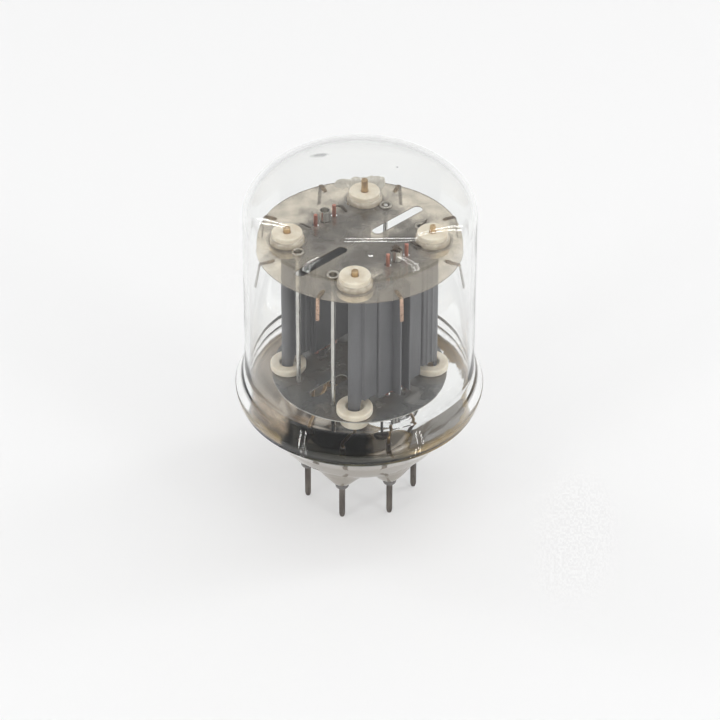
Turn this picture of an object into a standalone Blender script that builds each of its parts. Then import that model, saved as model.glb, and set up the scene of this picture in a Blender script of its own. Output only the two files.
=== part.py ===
"""Twin power vacuum tube with a seven pin glass base, standing on its pins.

Metres, +Z up. The origin is on the tube's axis in the plane of the pin tips. X runs along
the two slots of the upper mica, and the two anode units stand side by side along Y.
"""
import math

import bpy
from mathutils import Matrix, Vector

# Heights above the pin tips
TUBE_HEIGHT = 0.0885
SEAL_HEIGHT = 0.0285
LOWER_MICA_RISE = 0.0063
LOWER_MICA_TOP = SEAL_HEIGHT + LOWER_MICA_RISE
UPPER_MICA_DEPTH = 0.0180
UPPER_MICA_TOP = TUBE_HEIGHT - UPPER_MICA_DEPTH

# The four bushings, which carry the two anode units
BUSHING_X = 0.01194
UNIT_Y = 0.0111
BUSHING_REACH = math.hypot(BUSHING_X, UNIT_Y)
BUSHING_FLANGE_RADIUS = 0.0041
BUSHING_FLANGE_THICKNESS = 0.0017
BUSHING_FLANGE_EDGE = 0.00025
BUSHING_BOSS_RADIUS = 0.0033
UPPER_BOSS_HEIGHT = 0.0026
LOWER_BOSS_HEIGHT = 0.0024
BUSHING_BEAD_RADIUS = 0.0038
BUSHING_BEAD_HEIGHT = 0.0007
BUSHING_EDGE = 0.0005
POCKET_DEPTH = 0.0013
POCKET_FIT = 0.00045
SEAT_GAP = 0.0003
HOLE_FIT = 0.0003

# Micas
UPPER_MICA_MARGIN = 0.0035
LOWER_MICA_MARGIN = 0.00015
UPPER_MICA_RADIUS = BUSHING_REACH + BUSHING_BOSS_RADIUS + HOLE_FIT + UPPER_MICA_MARGIN
LOWER_MICA_RADIUS = BUSHING_REACH + BUSHING_BOSS_RADIUS + HOLE_FIT + LOWER_MICA_MARGIN
MICA_THICKNESS = 0.00045
SLOT_WIDTH = 0.0025
SLOT_START = 0.0043
UPPER_SLOT_MARGIN = 0.0043
LOWER_SLOT_MARGIN = 0.00505

# Envelope
BULB_WALL = 0.0012
BULB_CLEARANCE = 0.0017
BULB_RADIUS = UPPER_MICA_RADIUS + BULB_CLEARANCE + BULB_WALL
DOME_RISE = 0.0108
DOME_SQUARENESS = 2.25
FLARE_HEIGHT = 0.0107
FLARE_REACH = 0.00215
FLANGE_RADIUS = BULB_RADIUS + FLARE_REACH
FLANGE_WALL = 0.0028
SEAL_GAP = 0.0003
SEAL_EDGE = 0.0009
SEAL_BEVEL = 0.0008

# Glass base
DISH_CORNER_INSET = 0.00815
DISH_CORNER_HEIGHT = 0.0190
DISH_FLOOR_INSET = 0.0012
DISH_FLOOR_HEIGHT = 0.0140
DISH_WALL = 0.0022
DISH_WALL_INSET = 0.0011
DISH_HOLLOW = 0.0004
DISH_BEND = 0.75
EXHAUST_RADIUS = 0.0026
EXHAUST_ROOT_RADIUS = 0.0039
EXHAUST_LENGTH = 0.0060
EXHAUST_TIP_HEIGHT = DISH_FLOOR_HEIGHT - EXHAUST_LENGTH

# Pins
PIN_COUNT = 7
PIN_CIRCLE_RADIUS = 0.0127
PIN_PHASE = math.radians(3.1)
PIN_RADIUS = 0.00065
PIN_TIP_RADIUS = 0.00030
PIN_TIP_LENGTH = 0.0008
COLLAR_RADIUS = 0.00145
PIN_RISE = 0.0026
PIN_TOP = DISH_FLOOR_HEIGHT + DISH_WALL + PIN_RISE
PIN_BOSS_RADIUS = 0.0034
PIN_BOSS_FLAT = 0.0021
PIN_BOSS_DROP = 0.0041
PIN_BOSS_BOTTOM = DISH_FLOOR_HEIGHT - PIN_BOSS_DROP
PIN_BOSS_INSET = 0.0001
COLLAR_SHOW = 0.0005
COLLAR_BOTTOM = PIN_BOSS_BOTTOM - COLLAR_SHOW
COLLAR_HEIGHT = 0.0019
COLLAR_BEVEL = 0.0002
PIN_FIT = 0.0003

# Anodes
ANODE_SHEET = 0.0003
ANODE_HALF_DEPTH = 0.00205
ANODE_FOOT_GAP = 0.0024
ANODE_BOTTOM = LOWER_MICA_TOP + ANODE_FOOT_GAP
ANODE_HEAD_GAP = 0.0029
ANODE_TOP = UPPER_MICA_TOP - ANODE_HEAD_GAP
COLUMN_RADIUS = 0.00135
COLUMN_REACH = 0.0009
COLUMN_STEP = 0.00023
PANEL_RISE = 0.0017
FOLD_INSET = 0.00504
FOLD_X = BUSHING_X - FOLD_INSET
FOLD_HALF_WIDTH = 0.00045
FOLD_DEPTH = 0.0006
FOLD_SLOPE = 0.00015
RIB_HEIGHT = 0.00028
RIB_HALF_WIDTH = 0.00034
RIB_PITCH = 0.0015
RIB_MARGIN = 0.00025
FIN_XS = (-0.0022, 0.0006)
FIN_DEPTH = 0.0027
FIN_THICKNESS = 0.00045
CUT_SPARE = 0.0014
POST_RADIUS = 0.00085
POST_RISES = (0.0027, 0.0019, 0.0027, 0.0024)
POST_FIT = 0.0003
POST_DROP = 0.0014

# Cathodes, heaters and grids
CATHODE_RADIUS = 0.0012
CATHODE_WALL = 0.0002
CATHODE_RISE = 0.0027
CATHODE_DROP = 0.0028
HEATER_WIRE_RADIUS = 0.00022
HEATER_SPREAD = 0.00052
HEATER_DROP = 0.0104
HEATER_RECESS = 0.0024
GRID_ROD_X = 0.0036
GRID_ROD_RADIUS = 0.0005
GRID_ROD_RISE = 0.0047
GRID_ROD_DROP = 0.0033
GRID_WIRE_RADIUS = 0.0001
GRID_CLEARANCE = 0.00025
GRID_PITCH = 0.0034
GRID_INSET = 0.0012

# Support rods, springs, getters and leads
ROD_OUTSET = 0.00156
ROD_X = BUSHING_X + ROD_OUTSET
ROD_INSET = 0.0053
ROD_Y = UNIT_Y - ROD_INSET
ROD_RADIUS = 0.0005
ROD_TOP_RECESS = 0.0005
ROD_COLLAR_RADIUS = 0.0012
ROD_COLLAR_HEIGHT = 0.0009
ROD_DROP = 0.0083
EYELET_RADIUS = 0.00145
EYELET_BARREL = 0.00095
EYELET_BORE = 0.00075
EYELET_HEIGHT = 0.0012
EYELET_DROP = 0.0009
EYELET_EDGE = 0.00025
EYELET_LIP = 0.00012
SPRING_COUNT = 8
SPRING_PHASE = math.radians(-20.9)
SPRING_WIDTH = 0.0010
SPRING_SHEET = 0.00022
SPRING_LENGTH = 0.0033
SPRING_HANG = 0.0062
SPRING_BEND = 0.00045
SPRING_SLOPE = 10.0
GETTER_X = 0.0061
GETTER_OUTSET = 0.0028
GETTER_Y = UNIT_Y + GETTER_OUTSET
GETTER_HANG = 0.0086
GETTER_RADIUS = 0.0018
GETTER_DEPTH = 0.0011
GETTER_WALL = 0.0003
GETTER_STALK_RADIUS = 0.0003
LEAD_RADIUS = 0.0004
LEAD_RISE = 0.0022

ROUND_STEPS = 10
SMALL_STEPS = 8
HOLE_STEPS = 6
ARC_STEPS = 4
COARSE_STEPS = 2
ENVELOPE_STEPS = 30
DOME_STEPS = 8
INNER_DOME_STEPS = 5
FLARE_STEPS = 5
MICA_STEPS = 36
MERGE = 0.00001

PART_NAME = "vacuum_tube"


def clear_scene():
    for old in list(bpy.data.objects):
        bpy.data.objects.remove(old, do_unlink=True)


def make_collection(name):
    made = bpy.data.collections.new(name)
    bpy.context.scene.collection.children.link(made)
    return made


def make_material(name, colour, roughness, metallic=0.0, transmission=0.0):
    made = bpy.data.materials.new(name)
    made.use_nodes = True
    shader = made.node_tree.nodes["Principled BSDF"]
    shader.inputs["Base Color"].default_value = (*colour, 1.0)
    shader.inputs["Roughness"].default_value = roughness
    shader.inputs["Metallic"].default_value = metallic
    shader.inputs["Transmission Weight"].default_value = transmission
    return made


def add_object(name, data, material, home):
    made = bpy.data.objects.new(name, data)
    home.objects.link(made)
    if material is not None:
        data.materials.append(material)
    return made


def turned(name, profile, material, home, steps=ROUND_STEPS, ring=False):
    """A turned piece: (radius, height) points, down the outside first; a ring closes on itself."""
    mesh = bpy.data.meshes.new(name)
    edges = [(i, i + 1) for i in range(len(profile) - 1)]
    if ring:
        edges.append((len(profile) - 1, 0))
    mesh.from_pydata([(r, 0.0, z) for r, z in profile], edges, [])
    made = add_object(name, mesh, material, home)
    screw = made.modifiers.new("turn", "SCREW")
    screw.steps = screw.render_steps = steps
    screw.use_merge_vertices = True
    screw.merge_threshold = MERGE
    screw.use_smooth_shade = True
    return made


def flat_plate(name, outlines, thickness, material, home):
    """A plate of even thickness about its own Z = 0, from its outline and the outlines of its holes."""
    curve = bpy.data.curves.new(name, "CURVE")
    curve.dimensions = "2D"
    curve.fill_mode = "BOTH"
    curve.extrude = thickness / 2
    for outline in outlines:
        spline = curve.splines.new("POLY")
        spline.points.add(len(outline) - 1)
        spline.use_cyclic_u = True
        for point, (x, y) in zip(spline.points, outline):
            point.co = (x, y, 0.0, 1.0)
    return add_object(name, curve, material, home)


def wire(name, points, radius, material, home, sides=2):
    curve = bpy.data.curves.new(name, "CURVE")
    curve.dimensions = "3D"
    curve.bevel_depth = radius
    curve.bevel_resolution = sides
    curve.use_fill_caps = True
    spline = curve.splines.new("POLY")
    spline.points.add(len(points) - 1)
    for point, place in zip(spline.points, points):
        point.co = (*place, 1.0)
    return add_object(name, curve, material, home)


def cut(target, cutter, operation="DIFFERENCE"):
    made = target.modifiers.new(cutter.name, "BOOLEAN")
    made.operation = operation
    made.solver = "EXACT"
    made.object = cutter
    cutter.hide_render = True
    cutter.display_type = "WIRE"


def arc(centre, radius, start, end, steps):
    """Points of an arc in a plane, both ends included, angles in degrees."""
    turn = [math.radians(start + (end - start) * i / steps) for i in range(steps + 1)]
    return [(centre[0] + radius * math.cos(t), centre[1] + radius * math.sin(t)) for t in turn]


def circle(centre, radius, steps):
    return arc(centre, radius, 0.0, 360.0, steps)[:-1]


def stadium(start, end, half_width):
    """A slot along X with round ends."""
    right = arc((end, 0.0), half_width, -90.0, 90.0, COARSE_STEPS + 1)
    left = arc((start, 0.0), half_width, 90.0, 270.0, COARSE_STEPS + 1)
    return right + left


def box(name, low, high, material, home):
    bpy.ops.mesh.primitive_cube_add(size=1.0, location=(0.0, 0.0, 0.0))
    made = bpy.context.active_object
    made.name = name
    made.data.name = name
    sizes = [b - a for a, b in zip(low, high)]
    middle = [(a + b) / 2 for a, b in zip(low, high)]
    made.data.transform(Matrix.Translation(Vector(middle)) @ Matrix.Diagonal((*sizes, 1.0)))
    for other in list(made.users_collection):
        other.objects.unlink(made)
    home.objects.link(made)
    if material is not None:
        made.data.materials.append(material)
    return made


def corners():
    """The four bushing places, counter-clockwise from +X +Y."""
    return [(BUSHING_X * sx, UNIT_Y * sy) for sx, sy in ((1, 1), (-1, 1), (-1, -1), (1, -1))]


def dome(radius, rise, base, steps):
    """Outer half of a squared dome, from the axis down to its shoulder."""
    points = []
    for i in range(steps + 1):
        t = math.pi / 2 * (1 - i / steps)
        r = radius * max(math.cos(t), 0.0) ** (2 / DOME_SQUARENESS)
        points.append((r if i else 0.0, base + rise * math.sin(t) ** (2 / DOME_SQUARENESS)))
    return points


def flare(top_radius, bottom_radius, top, bottom, steps):
    """A smooth S from a wall to a wider rim, the ends left out."""
    points = []
    for i in range(1, steps):
        t = i / steps
        ease = (1 - math.cos(math.pi * t)) / 2
        points.append((top_radius + (bottom_radius - top_radius) * ease, top + (bottom - top) * t))
    return points


def build_bulb(home, glass):
    shoulder = TUBE_HEIGHT - DOME_RISE
    inner = BULB_RADIUS - BULB_WALL
    flare_top = SEAL_HEIGHT + FLARE_HEIGHT
    seal_inner = FLANGE_RADIUS - FLANGE_WALL
    outside = dome(BULB_RADIUS, DOME_RISE, shoulder, DOME_STEPS)
    outside += [(BULB_RADIUS, flare_top)]
    outside += flare(BULB_RADIUS, FLANGE_RADIUS, flare_top, SEAL_HEIGHT + SEAL_EDGE, FLARE_STEPS)
    outside += [(FLANGE_RADIUS, SEAL_HEIGHT + SEAL_EDGE), (FLANGE_RADIUS - SEAL_BEVEL, SEAL_HEIGHT)]
    inside = [(seal_inner, SEAL_HEIGHT)]
    inside += reversed(flare(inner, seal_inner, flare_top, SEAL_HEIGHT, COARSE_STEPS))
    inside += [(inner, flare_top)]
    inside += reversed(dome(inner, DOME_RISE - BULB_WALL / 2, shoulder - BULB_WALL / 2, INNER_DOME_STEPS))
    return turned("glass_bulb", outside + inside, glass, home, ENVELOPE_STEPS)


def bowl(corner, floor):
    """A rounded bowl from a corner in to the edge of a flat floor, the corner left out."""
    bend = (corner[0] - DISH_BEND * (corner[1] - floor[1]), floor[1])
    points = []
    for i in range(1, ARC_STEPS + 1):
        t = i / ARC_STEPS
        here = [(1 - t) ** 2 * a + 2 * t * (1 - t) * b + t * t * c for a, b, c in zip(corner, bend, floor)]
        points.append(tuple(here))
    return points


def dish_profile():
    """Under side of the glass base, from its rim in to the floor."""
    rim = (FLANGE_RADIUS - SEAL_BEVEL, SEAL_HEIGHT - SEAL_GAP)
    corner = (FLANGE_RADIUS - DISH_CORNER_INSET, DISH_CORNER_HEIGHT)
    floor = (PIN_CIRCLE_RADIUS - DISH_FLOOR_INSET, DISH_FLOOR_HEIGHT)
    shoulder = (rim[0] - SEAL_EDGE, rim[1] - SEAL_EDGE)
    waist = ((shoulder[0] + corner[0]) / 2 - DISH_HOLLOW, (shoulder[1] + corner[1]) / 2)
    return [rim, shoulder, waist, corner] + bowl(corner, floor)


def build_stem(home, cutters, glass):
    under = dish_profile()
    root = EXHAUST_ROOT_RADIUS - EXHAUST_RADIUS
    under += [(EXHAUST_ROOT_RADIUS, DISH_FLOOR_HEIGHT), (EXHAUST_RADIUS, DISH_FLOOR_HEIGHT - root)]
    tip = arc((0.0, EXHAUST_TIP_HEIGHT + EXHAUST_RADIUS), EXHAUST_RADIUS, 0.0, -90.0, ARC_STEPS)
    under += tip[:-1] + [(0.0, EXHAUST_TIP_HEIGHT)]
    corner = (FLANGE_RADIUS - DISH_CORNER_INSET - DISH_WALL_INSET, DISH_CORNER_HEIGHT + DISH_WALL)
    floor = (PIN_CIRCLE_RADIUS - DISH_FLOOR_INSET, DISH_FLOOR_HEIGHT + DISH_WALL)
    inside = [(0.0, DISH_FLOOR_HEIGHT + DISH_WALL)] + bowl(corner, floor)[::-1] + [corner]
    inside += [(FLANGE_RADIUS - FLANGE_WALL, SEAL_HEIGHT - SEAL_GAP)]
    stem = turned("glass_base", inside + under, glass, home, ENVELOPE_STEPS)
    top = DISH_FLOOR_HEIGHT + DISH_WALL - PIN_BOSS_INSET
    rounding = arc((0.0, 0.0), 1.0, 0.0, 90.0, COARSE_STEPS)
    boss_profile = [(0.0, top)]
    for across, down in rounding:
        radius = PIN_BOSS_FLAT + (PIN_BOSS_RADIUS - PIN_BOSS_FLAT) * across
        boss_profile.append((radius, top - (top - PIN_BOSS_BOTTOM) * down))
    boss_profile.append((0.0, PIN_BOSS_BOTTOM))
    for i, (x, y) in enumerate(pin_places()):
        boss = turned(f"boss_{i + 1}", boss_profile, None, cutters, ROUND_STEPS)
        boss.location = (x, y, 0.0)
        cut(stem, boss, "UNION")
    wide = COLLAR_RADIUS + PIN_FIT
    narrow = PIN_RADIUS + PIN_FIT
    step = COLLAR_BOTTOM + COLLAR_HEIGHT + PIN_FIT
    bore_profile = [(0.0, PIN_TOP), (narrow, PIN_TOP), (narrow, step), (wide, step)]
    bore_profile += [(wide, 0.0), (0.0, 0.0)]
    for i, (x, y) in enumerate(pin_places()):
        bore = turned(f"pin_bore_{i + 1}", bore_profile, None, cutters, SMALL_STEPS)
        bore.location = (x, y, 0.0)
        cut(stem, bore)
    return stem


def pin_places():
    places = []
    for i in range(PIN_COUNT):
        turn = PIN_PHASE + 2 * math.pi * i / PIN_COUNT
        places.append((PIN_CIRCLE_RADIUS * math.cos(turn), PIN_CIRCLE_RADIUS * math.sin(turn)))
    return places


def build_pins(home, metal):
    collar_top = COLLAR_BOTTOM + COLLAR_HEIGHT
    profile = [
        (0.0, PIN_TOP),
        (PIN_RADIUS, PIN_TOP),
        (PIN_RADIUS, collar_top),
        (COLLAR_RADIUS - COLLAR_BEVEL, collar_top),
        (COLLAR_RADIUS, collar_top - COLLAR_BEVEL),
        (COLLAR_RADIUS, COLLAR_BOTTOM),
        (PIN_RADIUS, COLLAR_BOTTOM),
        (PIN_RADIUS, PIN_TIP_LENGTH),
        (PIN_TIP_RADIUS, 0.0),
        (0.0, 0.0),
    ]
    for i, (x, y) in enumerate(pin_places()):
        pin = turned(f"base_pin_{i + 1}", profile, metal, home, SMALL_STEPS)
        pin.location = (x, y, 0.0)


def upper_flange_top():
    return UPPER_MICA_TOP - MICA_THICKNESS - SEAT_GAP


def lower_flange_top():
    return LOWER_MICA_TOP + SEAT_GAP + BUSHING_FLANGE_THICKNESS


def lower_boss_bottom():
    return LOWER_MICA_TOP - MICA_THICKNESS - LOWER_BOSS_HEIGHT


def post_bore():
    return POST_RADIUS + POST_FIT


def pocket_radius():
    return COLUMN_RADIUS + ANODE_SHEET / 2 + POCKET_FIT


def upper_bushing_profile():
    top = UPPER_MICA_TOP + UPPER_BOSS_HEIGHT
    bead_bottom = UPPER_MICA_TOP + SEAT_GAP
    bead_top = bead_bottom + BUSHING_BEAD_HEIGHT
    flange_top = upper_flange_top()
    flange_bottom = flange_top - BUSHING_FLANGE_THICKNESS
    return [
        (post_bore(), top),
        (BUSHING_BOSS_RADIUS - BUSHING_EDGE, top),
        (BUSHING_BOSS_RADIUS, top - BUSHING_EDGE),
        (BUSHING_BOSS_RADIUS, bead_top),
        (BUSHING_BEAD_RADIUS, bead_bottom),
        (BUSHING_BOSS_RADIUS, bead_bottom),
        (BUSHING_BOSS_RADIUS, flange_top),
        (BUSHING_FLANGE_RADIUS - BUSHING_FLANGE_EDGE, flange_top),
        (BUSHING_FLANGE_RADIUS, flange_top - BUSHING_FLANGE_EDGE),
        (BUSHING_FLANGE_RADIUS, flange_bottom),
        (pocket_radius(), flange_bottom),
        (pocket_radius(), flange_bottom + POCKET_DEPTH),
        (post_bore(), flange_bottom + POCKET_DEPTH),
    ]


def lower_bushing_profile():
    top = lower_flange_top()
    seat = LOWER_MICA_TOP + SEAT_GAP
    bottom = lower_boss_bottom()
    return [
        (pocket_radius(), top),
        (BUSHING_FLANGE_RADIUS - BUSHING_FLANGE_EDGE, top),
        (BUSHING_FLANGE_RADIUS, top - BUSHING_FLANGE_EDGE),
        (BUSHING_FLANGE_RADIUS, seat),
        (BUSHING_BOSS_RADIUS, seat),
        (BUSHING_BOSS_RADIUS, bottom + BUSHING_EDGE),
        (BUSHING_BOSS_RADIUS - BUSHING_EDGE, bottom),
        (post_bore(), bottom),
        (post_bore(), top - POCKET_DEPTH),
        (pocket_radius(), top - POCKET_DEPTH),
    ]


def build_bushings(home, ceramic):
    for i, (x, y) in enumerate(corners()):
        for side, profile in (("upper", upper_bushing_profile()), ("lower", lower_bushing_profile())):
            bushing = turned(f"{side}_bushing_{i + 1}", profile, ceramic, home, ROUND_STEPS, ring=True)
            bushing.location = (x, y, 0.0)


def mica_holes(rod_hole):
    """Outlines of the holes that both micas share."""
    holes = [circle(place, BUSHING_BOSS_RADIUS + HOLE_FIT, ROUND_STEPS) for place in corners()]
    for side in (-1, 1):
        holes.append(circle((0.0, side * UNIT_Y), CATHODE_RADIUS + HOLE_FIT, HOLE_STEPS))
        for x in (-GRID_ROD_X, GRID_ROD_X):
            holes.append(circle((x, side * UNIT_Y), GRID_ROD_RADIUS + HOLE_FIT, HOLE_STEPS))
    holes += [circle(place, rod_hole, SMALL_STEPS) for place in rod_places()]
    return holes


def build_micas(home, mica):
    levels = (
        ("upper_mica", UPPER_MICA_RADIUS, UPPER_MICA_TOP, UPPER_SLOT_MARGIN, EYELET_BARREL + HOLE_FIT),
        ("lower_mica", LOWER_MICA_RADIUS, LOWER_MICA_TOP, LOWER_SLOT_MARGIN, ROD_RADIUS + HOLE_FIT),
    )
    half = SLOT_WIDTH / 2
    for name, radius, top, slot_margin, rod_hole in levels:
        slots = [stadium(SLOT_START + half, radius - slot_margin - half, half)]
        slots.append([(-x, -y) for x, y in slots[0]])
        outlines = [circle((0.0, 0.0), radius, MICA_STEPS)] + slots + mica_holes(rod_hole)
        plate = flat_plate(name, outlines, MICA_THICKNESS, mica, home)
        plate.location = (0.0, 0.0, top - MICA_THICKNESS / 2)


def rib(x, w, side):
    """A raised rib on a wall at depth w, in the order that the wall is walked."""
    half = side * RIB_HALF_WIDTH
    return [(x + half, w), (x, w + math.copysign(RIB_HEIGHT, w)), (x - half, w)]


def fold(x, w, side):
    """A stiffening fold pressed into a wall at depth w."""
    deep = w - math.copysign(FOLD_DEPTH, w)
    return [
        (x + side * FOLD_HALF_WIDTH, w),
        (x + side * (FOLD_HALF_WIDTH - FOLD_SLOPE), deep),
        (x - side * (FOLD_HALF_WIDTH - FOLD_SLOPE), deep),
        (x - side * FOLD_HALF_WIDTH, w),
    ]


def rib_places():
    """Ribs from a fold out towards the column, as many as fit."""
    end = BUSHING_X - COLUMN_REACH - COLUMN_STEP - RIB_HALF_WIDTH - RIB_MARGIN
    return [FOLD_X + RIB_PITCH * (i + 1) for i in range(int((end - FOLD_X) / RIB_PITCH))]


def anode_section():
    """Middle line of the folded sheet in plan, outer side towards -Y, walked clockwise."""
    neck = BUSHING_X - COLUMN_REACH
    wall_end = neck - COLUMN_STEP
    depth = ANODE_HALF_DEPTH
    right = arc((BUSHING_X, 0.0), COLUMN_RADIUS, 90.0, -90.0, ARC_STEPS)
    left = arc((-BUSHING_X, 0.0), COLUMN_RADIUS, -90.0, -270.0, ARC_STEPS)
    outer = [(neck, -COLUMN_RADIUS), (wall_end, -depth)]
    for x in reversed(rib_places()):
        outer += rib(x, -depth, 1)
    outer += fold(FOLD_X, -depth, 1) + fold(-FOLD_X, -depth, 1)
    outer += [(-wall_end, -depth), (-neck, -COLUMN_RADIUS)]
    inner = [(-neck, COLUMN_RADIUS), (-wall_end, depth)]
    for x in reversed(rib_places()):
        inner += rib(-x, depth, -1)
    inner += fold(-FOLD_X, depth, -1)
    for x in (-FOLD_X + RIB_PITCH, FOLD_X - RIB_PITCH):
        inner += rib(x, depth, -1)
    inner += fold(FOLD_X, depth, -1)
    for x in rib_places():
        inner += rib(x, depth, -1)
    inner += [(wall_end, depth), (neck, COLUMN_RADIUS)]
    return right + outer + left + inner


def build_anodes(home, cutters, carbon):
    foot = lower_flange_top() - POCKET_DEPTH + SEAT_GAP
    head = upper_flange_top() - BUSHING_FLANGE_THICKNESS + POCKET_DEPTH - SEAT_GAP
    section = anode_section()
    mesh = bpy.data.meshes.new("anode_sheet")
    loop = [(i, (i + 1) % len(section)) for i in range(len(section))]
    mesh.from_pydata([(x, y, 0.0) for x, y in section], loop, [])
    neck = BUSHING_X - COLUMN_REACH + ANODE_SHEET
    depth = ANODE_HALF_DEPTH + FIN_DEPTH + CUT_SPARE
    sole = foot - CUT_SPARE
    bottom = box("below_wall", (-neck, -depth, sole), (neck, depth, ANODE_BOTTOM), None, cutters)
    top = box("above_wall", (-neck, -depth, ANODE_TOP), (neck, depth, head + CUT_SPARE), None, cutters)
    ends = []
    for name, low, high in (("below_left", -neck, -FOLD_X), ("below_right", FOLD_X, neck)):
        ends.append(box(name, (low, -depth, sole), (high, depth, ANODE_BOTTOM + PANEL_RISE), None, cutters))
    fins = []
    wall = ANODE_HALF_DEPTH
    for i, x in enumerate(FIN_XS):
        low = (x - FIN_THICKNESS / 2, -wall - FIN_DEPTH, ANODE_BOTTOM)
        fins.append(box(f"fin_{i + 1}", low, (x + FIN_THICKNESS / 2, -wall, ANODE_TOP), None, cutters))
    for i, side in enumerate((-1, 1)):
        anode = add_object(f"anode_{i + 1}", mesh if i == 0 else mesh.copy(), carbon, home)
        rise = anode.modifiers.new("height", "SCREW")
        rise.angle = 0.0
        rise.screw_offset = head - foot
        rise.steps = rise.render_steps = 1
        rise.use_merge_vertices = False
        sheet = anode.modifiers.new("sheet", "SOLIDIFY")
        sheet.thickness = ANODE_SHEET
        sheet.offset = 0.0
        sheet.use_even_offset = True
        anode.location = (0.0, side * UNIT_Y, foot)
        anode.rotation_euler = (0.0, 0.0, 0.0 if side < 0 else math.pi)
        for tool in (*fins, bottom, top, *ends):
            copy = bpy.data.objects.new(f"{tool.name}_{i + 1}", tool.data)
            cutters.objects.link(copy)
            copy.location = (0.0, side * UNIT_Y, 0.0)
            copy.rotation_euler = anode.rotation_euler
            cut(anode, copy, "UNION" if tool in fins else "DIFFERENCE")
    for tool in (bottom, top, *ends, *fins):
        bpy.data.objects.remove(tool, do_unlink=True)


def build_posts(home, metal):
    bottom = lower_boss_bottom() - POST_DROP
    for i, (x, y) in enumerate(corners()):
        top = UPPER_MICA_TOP + UPPER_BOSS_HEIGHT + POST_RISES[i]
        cap = arc((0.0, top - POST_RADIUS), POST_RADIUS, 90.0, 0.0, COARSE_STEPS)
        profile = [(0.0, top)] + cap[1:] + [(POST_RADIUS, bottom), (0.0, bottom)]
        post = turned(f"anode_post_{i + 1}", profile, metal, home, SMALL_STEPS)
        post.location = (x, y, 0.0)


def build_cathodes(home, nickel, oxide):
    top = UPPER_MICA_TOP + CATHODE_RISE
    bottom = LOWER_MICA_TOP - CATHODE_DROP
    bore = CATHODE_RADIUS - CATHODE_WALL
    profile = [(CATHODE_RADIUS, top), (CATHODE_RADIUS, bottom), (bore, bottom), (bore, top)]
    leg_end = LOWER_MICA_TOP - HEATER_DROP
    crown = top - HEATER_RECESS
    for i, side in enumerate((-1, 1)):
        sleeve = turned(f"cathode_{i + 1}", profile, nickel, home, ROUND_STEPS, ring=True)
        sleeve.location = (0.0, side * UNIT_Y, 0.0)
        bend = [(x, 0.0, z) for x, z in arc((0.0, crown), HEATER_SPREAD, 180.0, 0.0, ARC_STEPS)]
        hairpin = [(-HEATER_SPREAD, 0.0, leg_end)] + bend + [(HEATER_SPREAD, 0.0, leg_end)]
        heater = wire(f"heater_{i + 1}", hairpin, HEATER_WIRE_RADIUS, oxide, home, 1)
        heater.location = (0.0, side * UNIT_Y, 0.0)


def winding_turn():
    """One turn of the grid wire in plan: straight runs with a square point round each side rod."""
    half = CATHODE_RADIUS + GRID_CLEARANCE + GRID_WIRE_RADIUS
    reach = GRID_ROD_RADIUS + GRID_WIRE_RADIUS + GRID_CLEARANCE
    centre = GRID_ROD_X + math.sqrt(2.0) * reach - half
    right = arc((centre, 0.0), half, -90.0, 90.0, COARSE_STEPS)
    left = arc((-centre, 0.0), half, 90.0, 270.0, COARSE_STEPS)
    return right + left


def build_grids(home, copper):
    top = UPPER_MICA_TOP + GRID_ROD_RISE
    bottom = LOWER_MICA_TOP - GRID_ROD_DROP
    turn = winding_turn()
    low = ANODE_BOTTOM + GRID_INSET
    turns = int((ANODE_TOP - GRID_INSET - low) / GRID_PITCH)
    spiral = []
    for i in range(turns * len(turn)):
        x, y = turn[i % len(turn)]
        spiral.append((x, y, low + GRID_PITCH * i / len(turn)))
    rod_profile = [(0.0, top), (GRID_ROD_RADIUS, top), (GRID_ROD_RADIUS, bottom), (0.0, bottom)]
    for i, side in enumerate((-1, 1)):
        for j, x in enumerate((-GRID_ROD_X, GRID_ROD_X)):
            rod = turned(f"grid_rod_{2 * i + j + 1}", rod_profile, copper, home, SMALL_STEPS)
            rod.location = (x, side * UNIT_Y, 0.0)
        winding = wire(f"grid_winding_{i + 1}", spiral, GRID_WIRE_RADIUS, copper, home, 0)
        winding.location = (0.0, side * UNIT_Y, 0.0)


def rod_places():
    return [(ROD_X * sx, ROD_Y * sy) for sx, sy in ((1, 1), (-1, 1), (-1, -1), (1, -1))]


def build_support_rods(home, nickel):
    top = UPPER_MICA_TOP + EYELET_HEIGHT - ROD_TOP_RECESS
    collar_top = LOWER_MICA_TOP - MICA_THICKNESS - SEAT_GAP
    rod_profile = [
        (0.0, top),
        (ROD_RADIUS, top),
        (ROD_RADIUS, collar_top),
        (ROD_COLLAR_RADIUS, collar_top),
        (ROD_COLLAR_RADIUS, collar_top - ROD_COLLAR_HEIGHT),
        (ROD_RADIUS, collar_top - ROD_COLLAR_HEIGHT),
        (ROD_RADIUS, LOWER_MICA_TOP - ROD_DROP),
        (0.0, LOWER_MICA_TOP - ROD_DROP),
    ]
    head_bottom = UPPER_MICA_TOP + SEAT_GAP
    head_top = UPPER_MICA_TOP + EYELET_HEIGHT
    eyelet_profile = [
        (EYELET_BORE + EYELET_LIP, head_top),
        (EYELET_RADIUS - EYELET_EDGE, head_top),
        (EYELET_RADIUS, head_top - EYELET_EDGE),
        (EYELET_RADIUS, head_bottom),
        (EYELET_BARREL, head_bottom),
        (EYELET_BARREL, UPPER_MICA_TOP - EYELET_DROP),
        (EYELET_BORE, UPPER_MICA_TOP - EYELET_DROP),
        (EYELET_BORE, head_top - EYELET_LIP),
    ]
    for i, (x, y) in enumerate(rod_places()):
        rod = turned(f"support_rod_{i + 1}", rod_profile, nickel, home, SMALL_STEPS)
        rod.location = (x, y, 0.0)
        eyelet = turned(f"rod_eyelet_{i + 1}", eyelet_profile, nickel, home, SMALL_STEPS, ring=True)
        eyelet.location = (x, y, 0.0)


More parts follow.
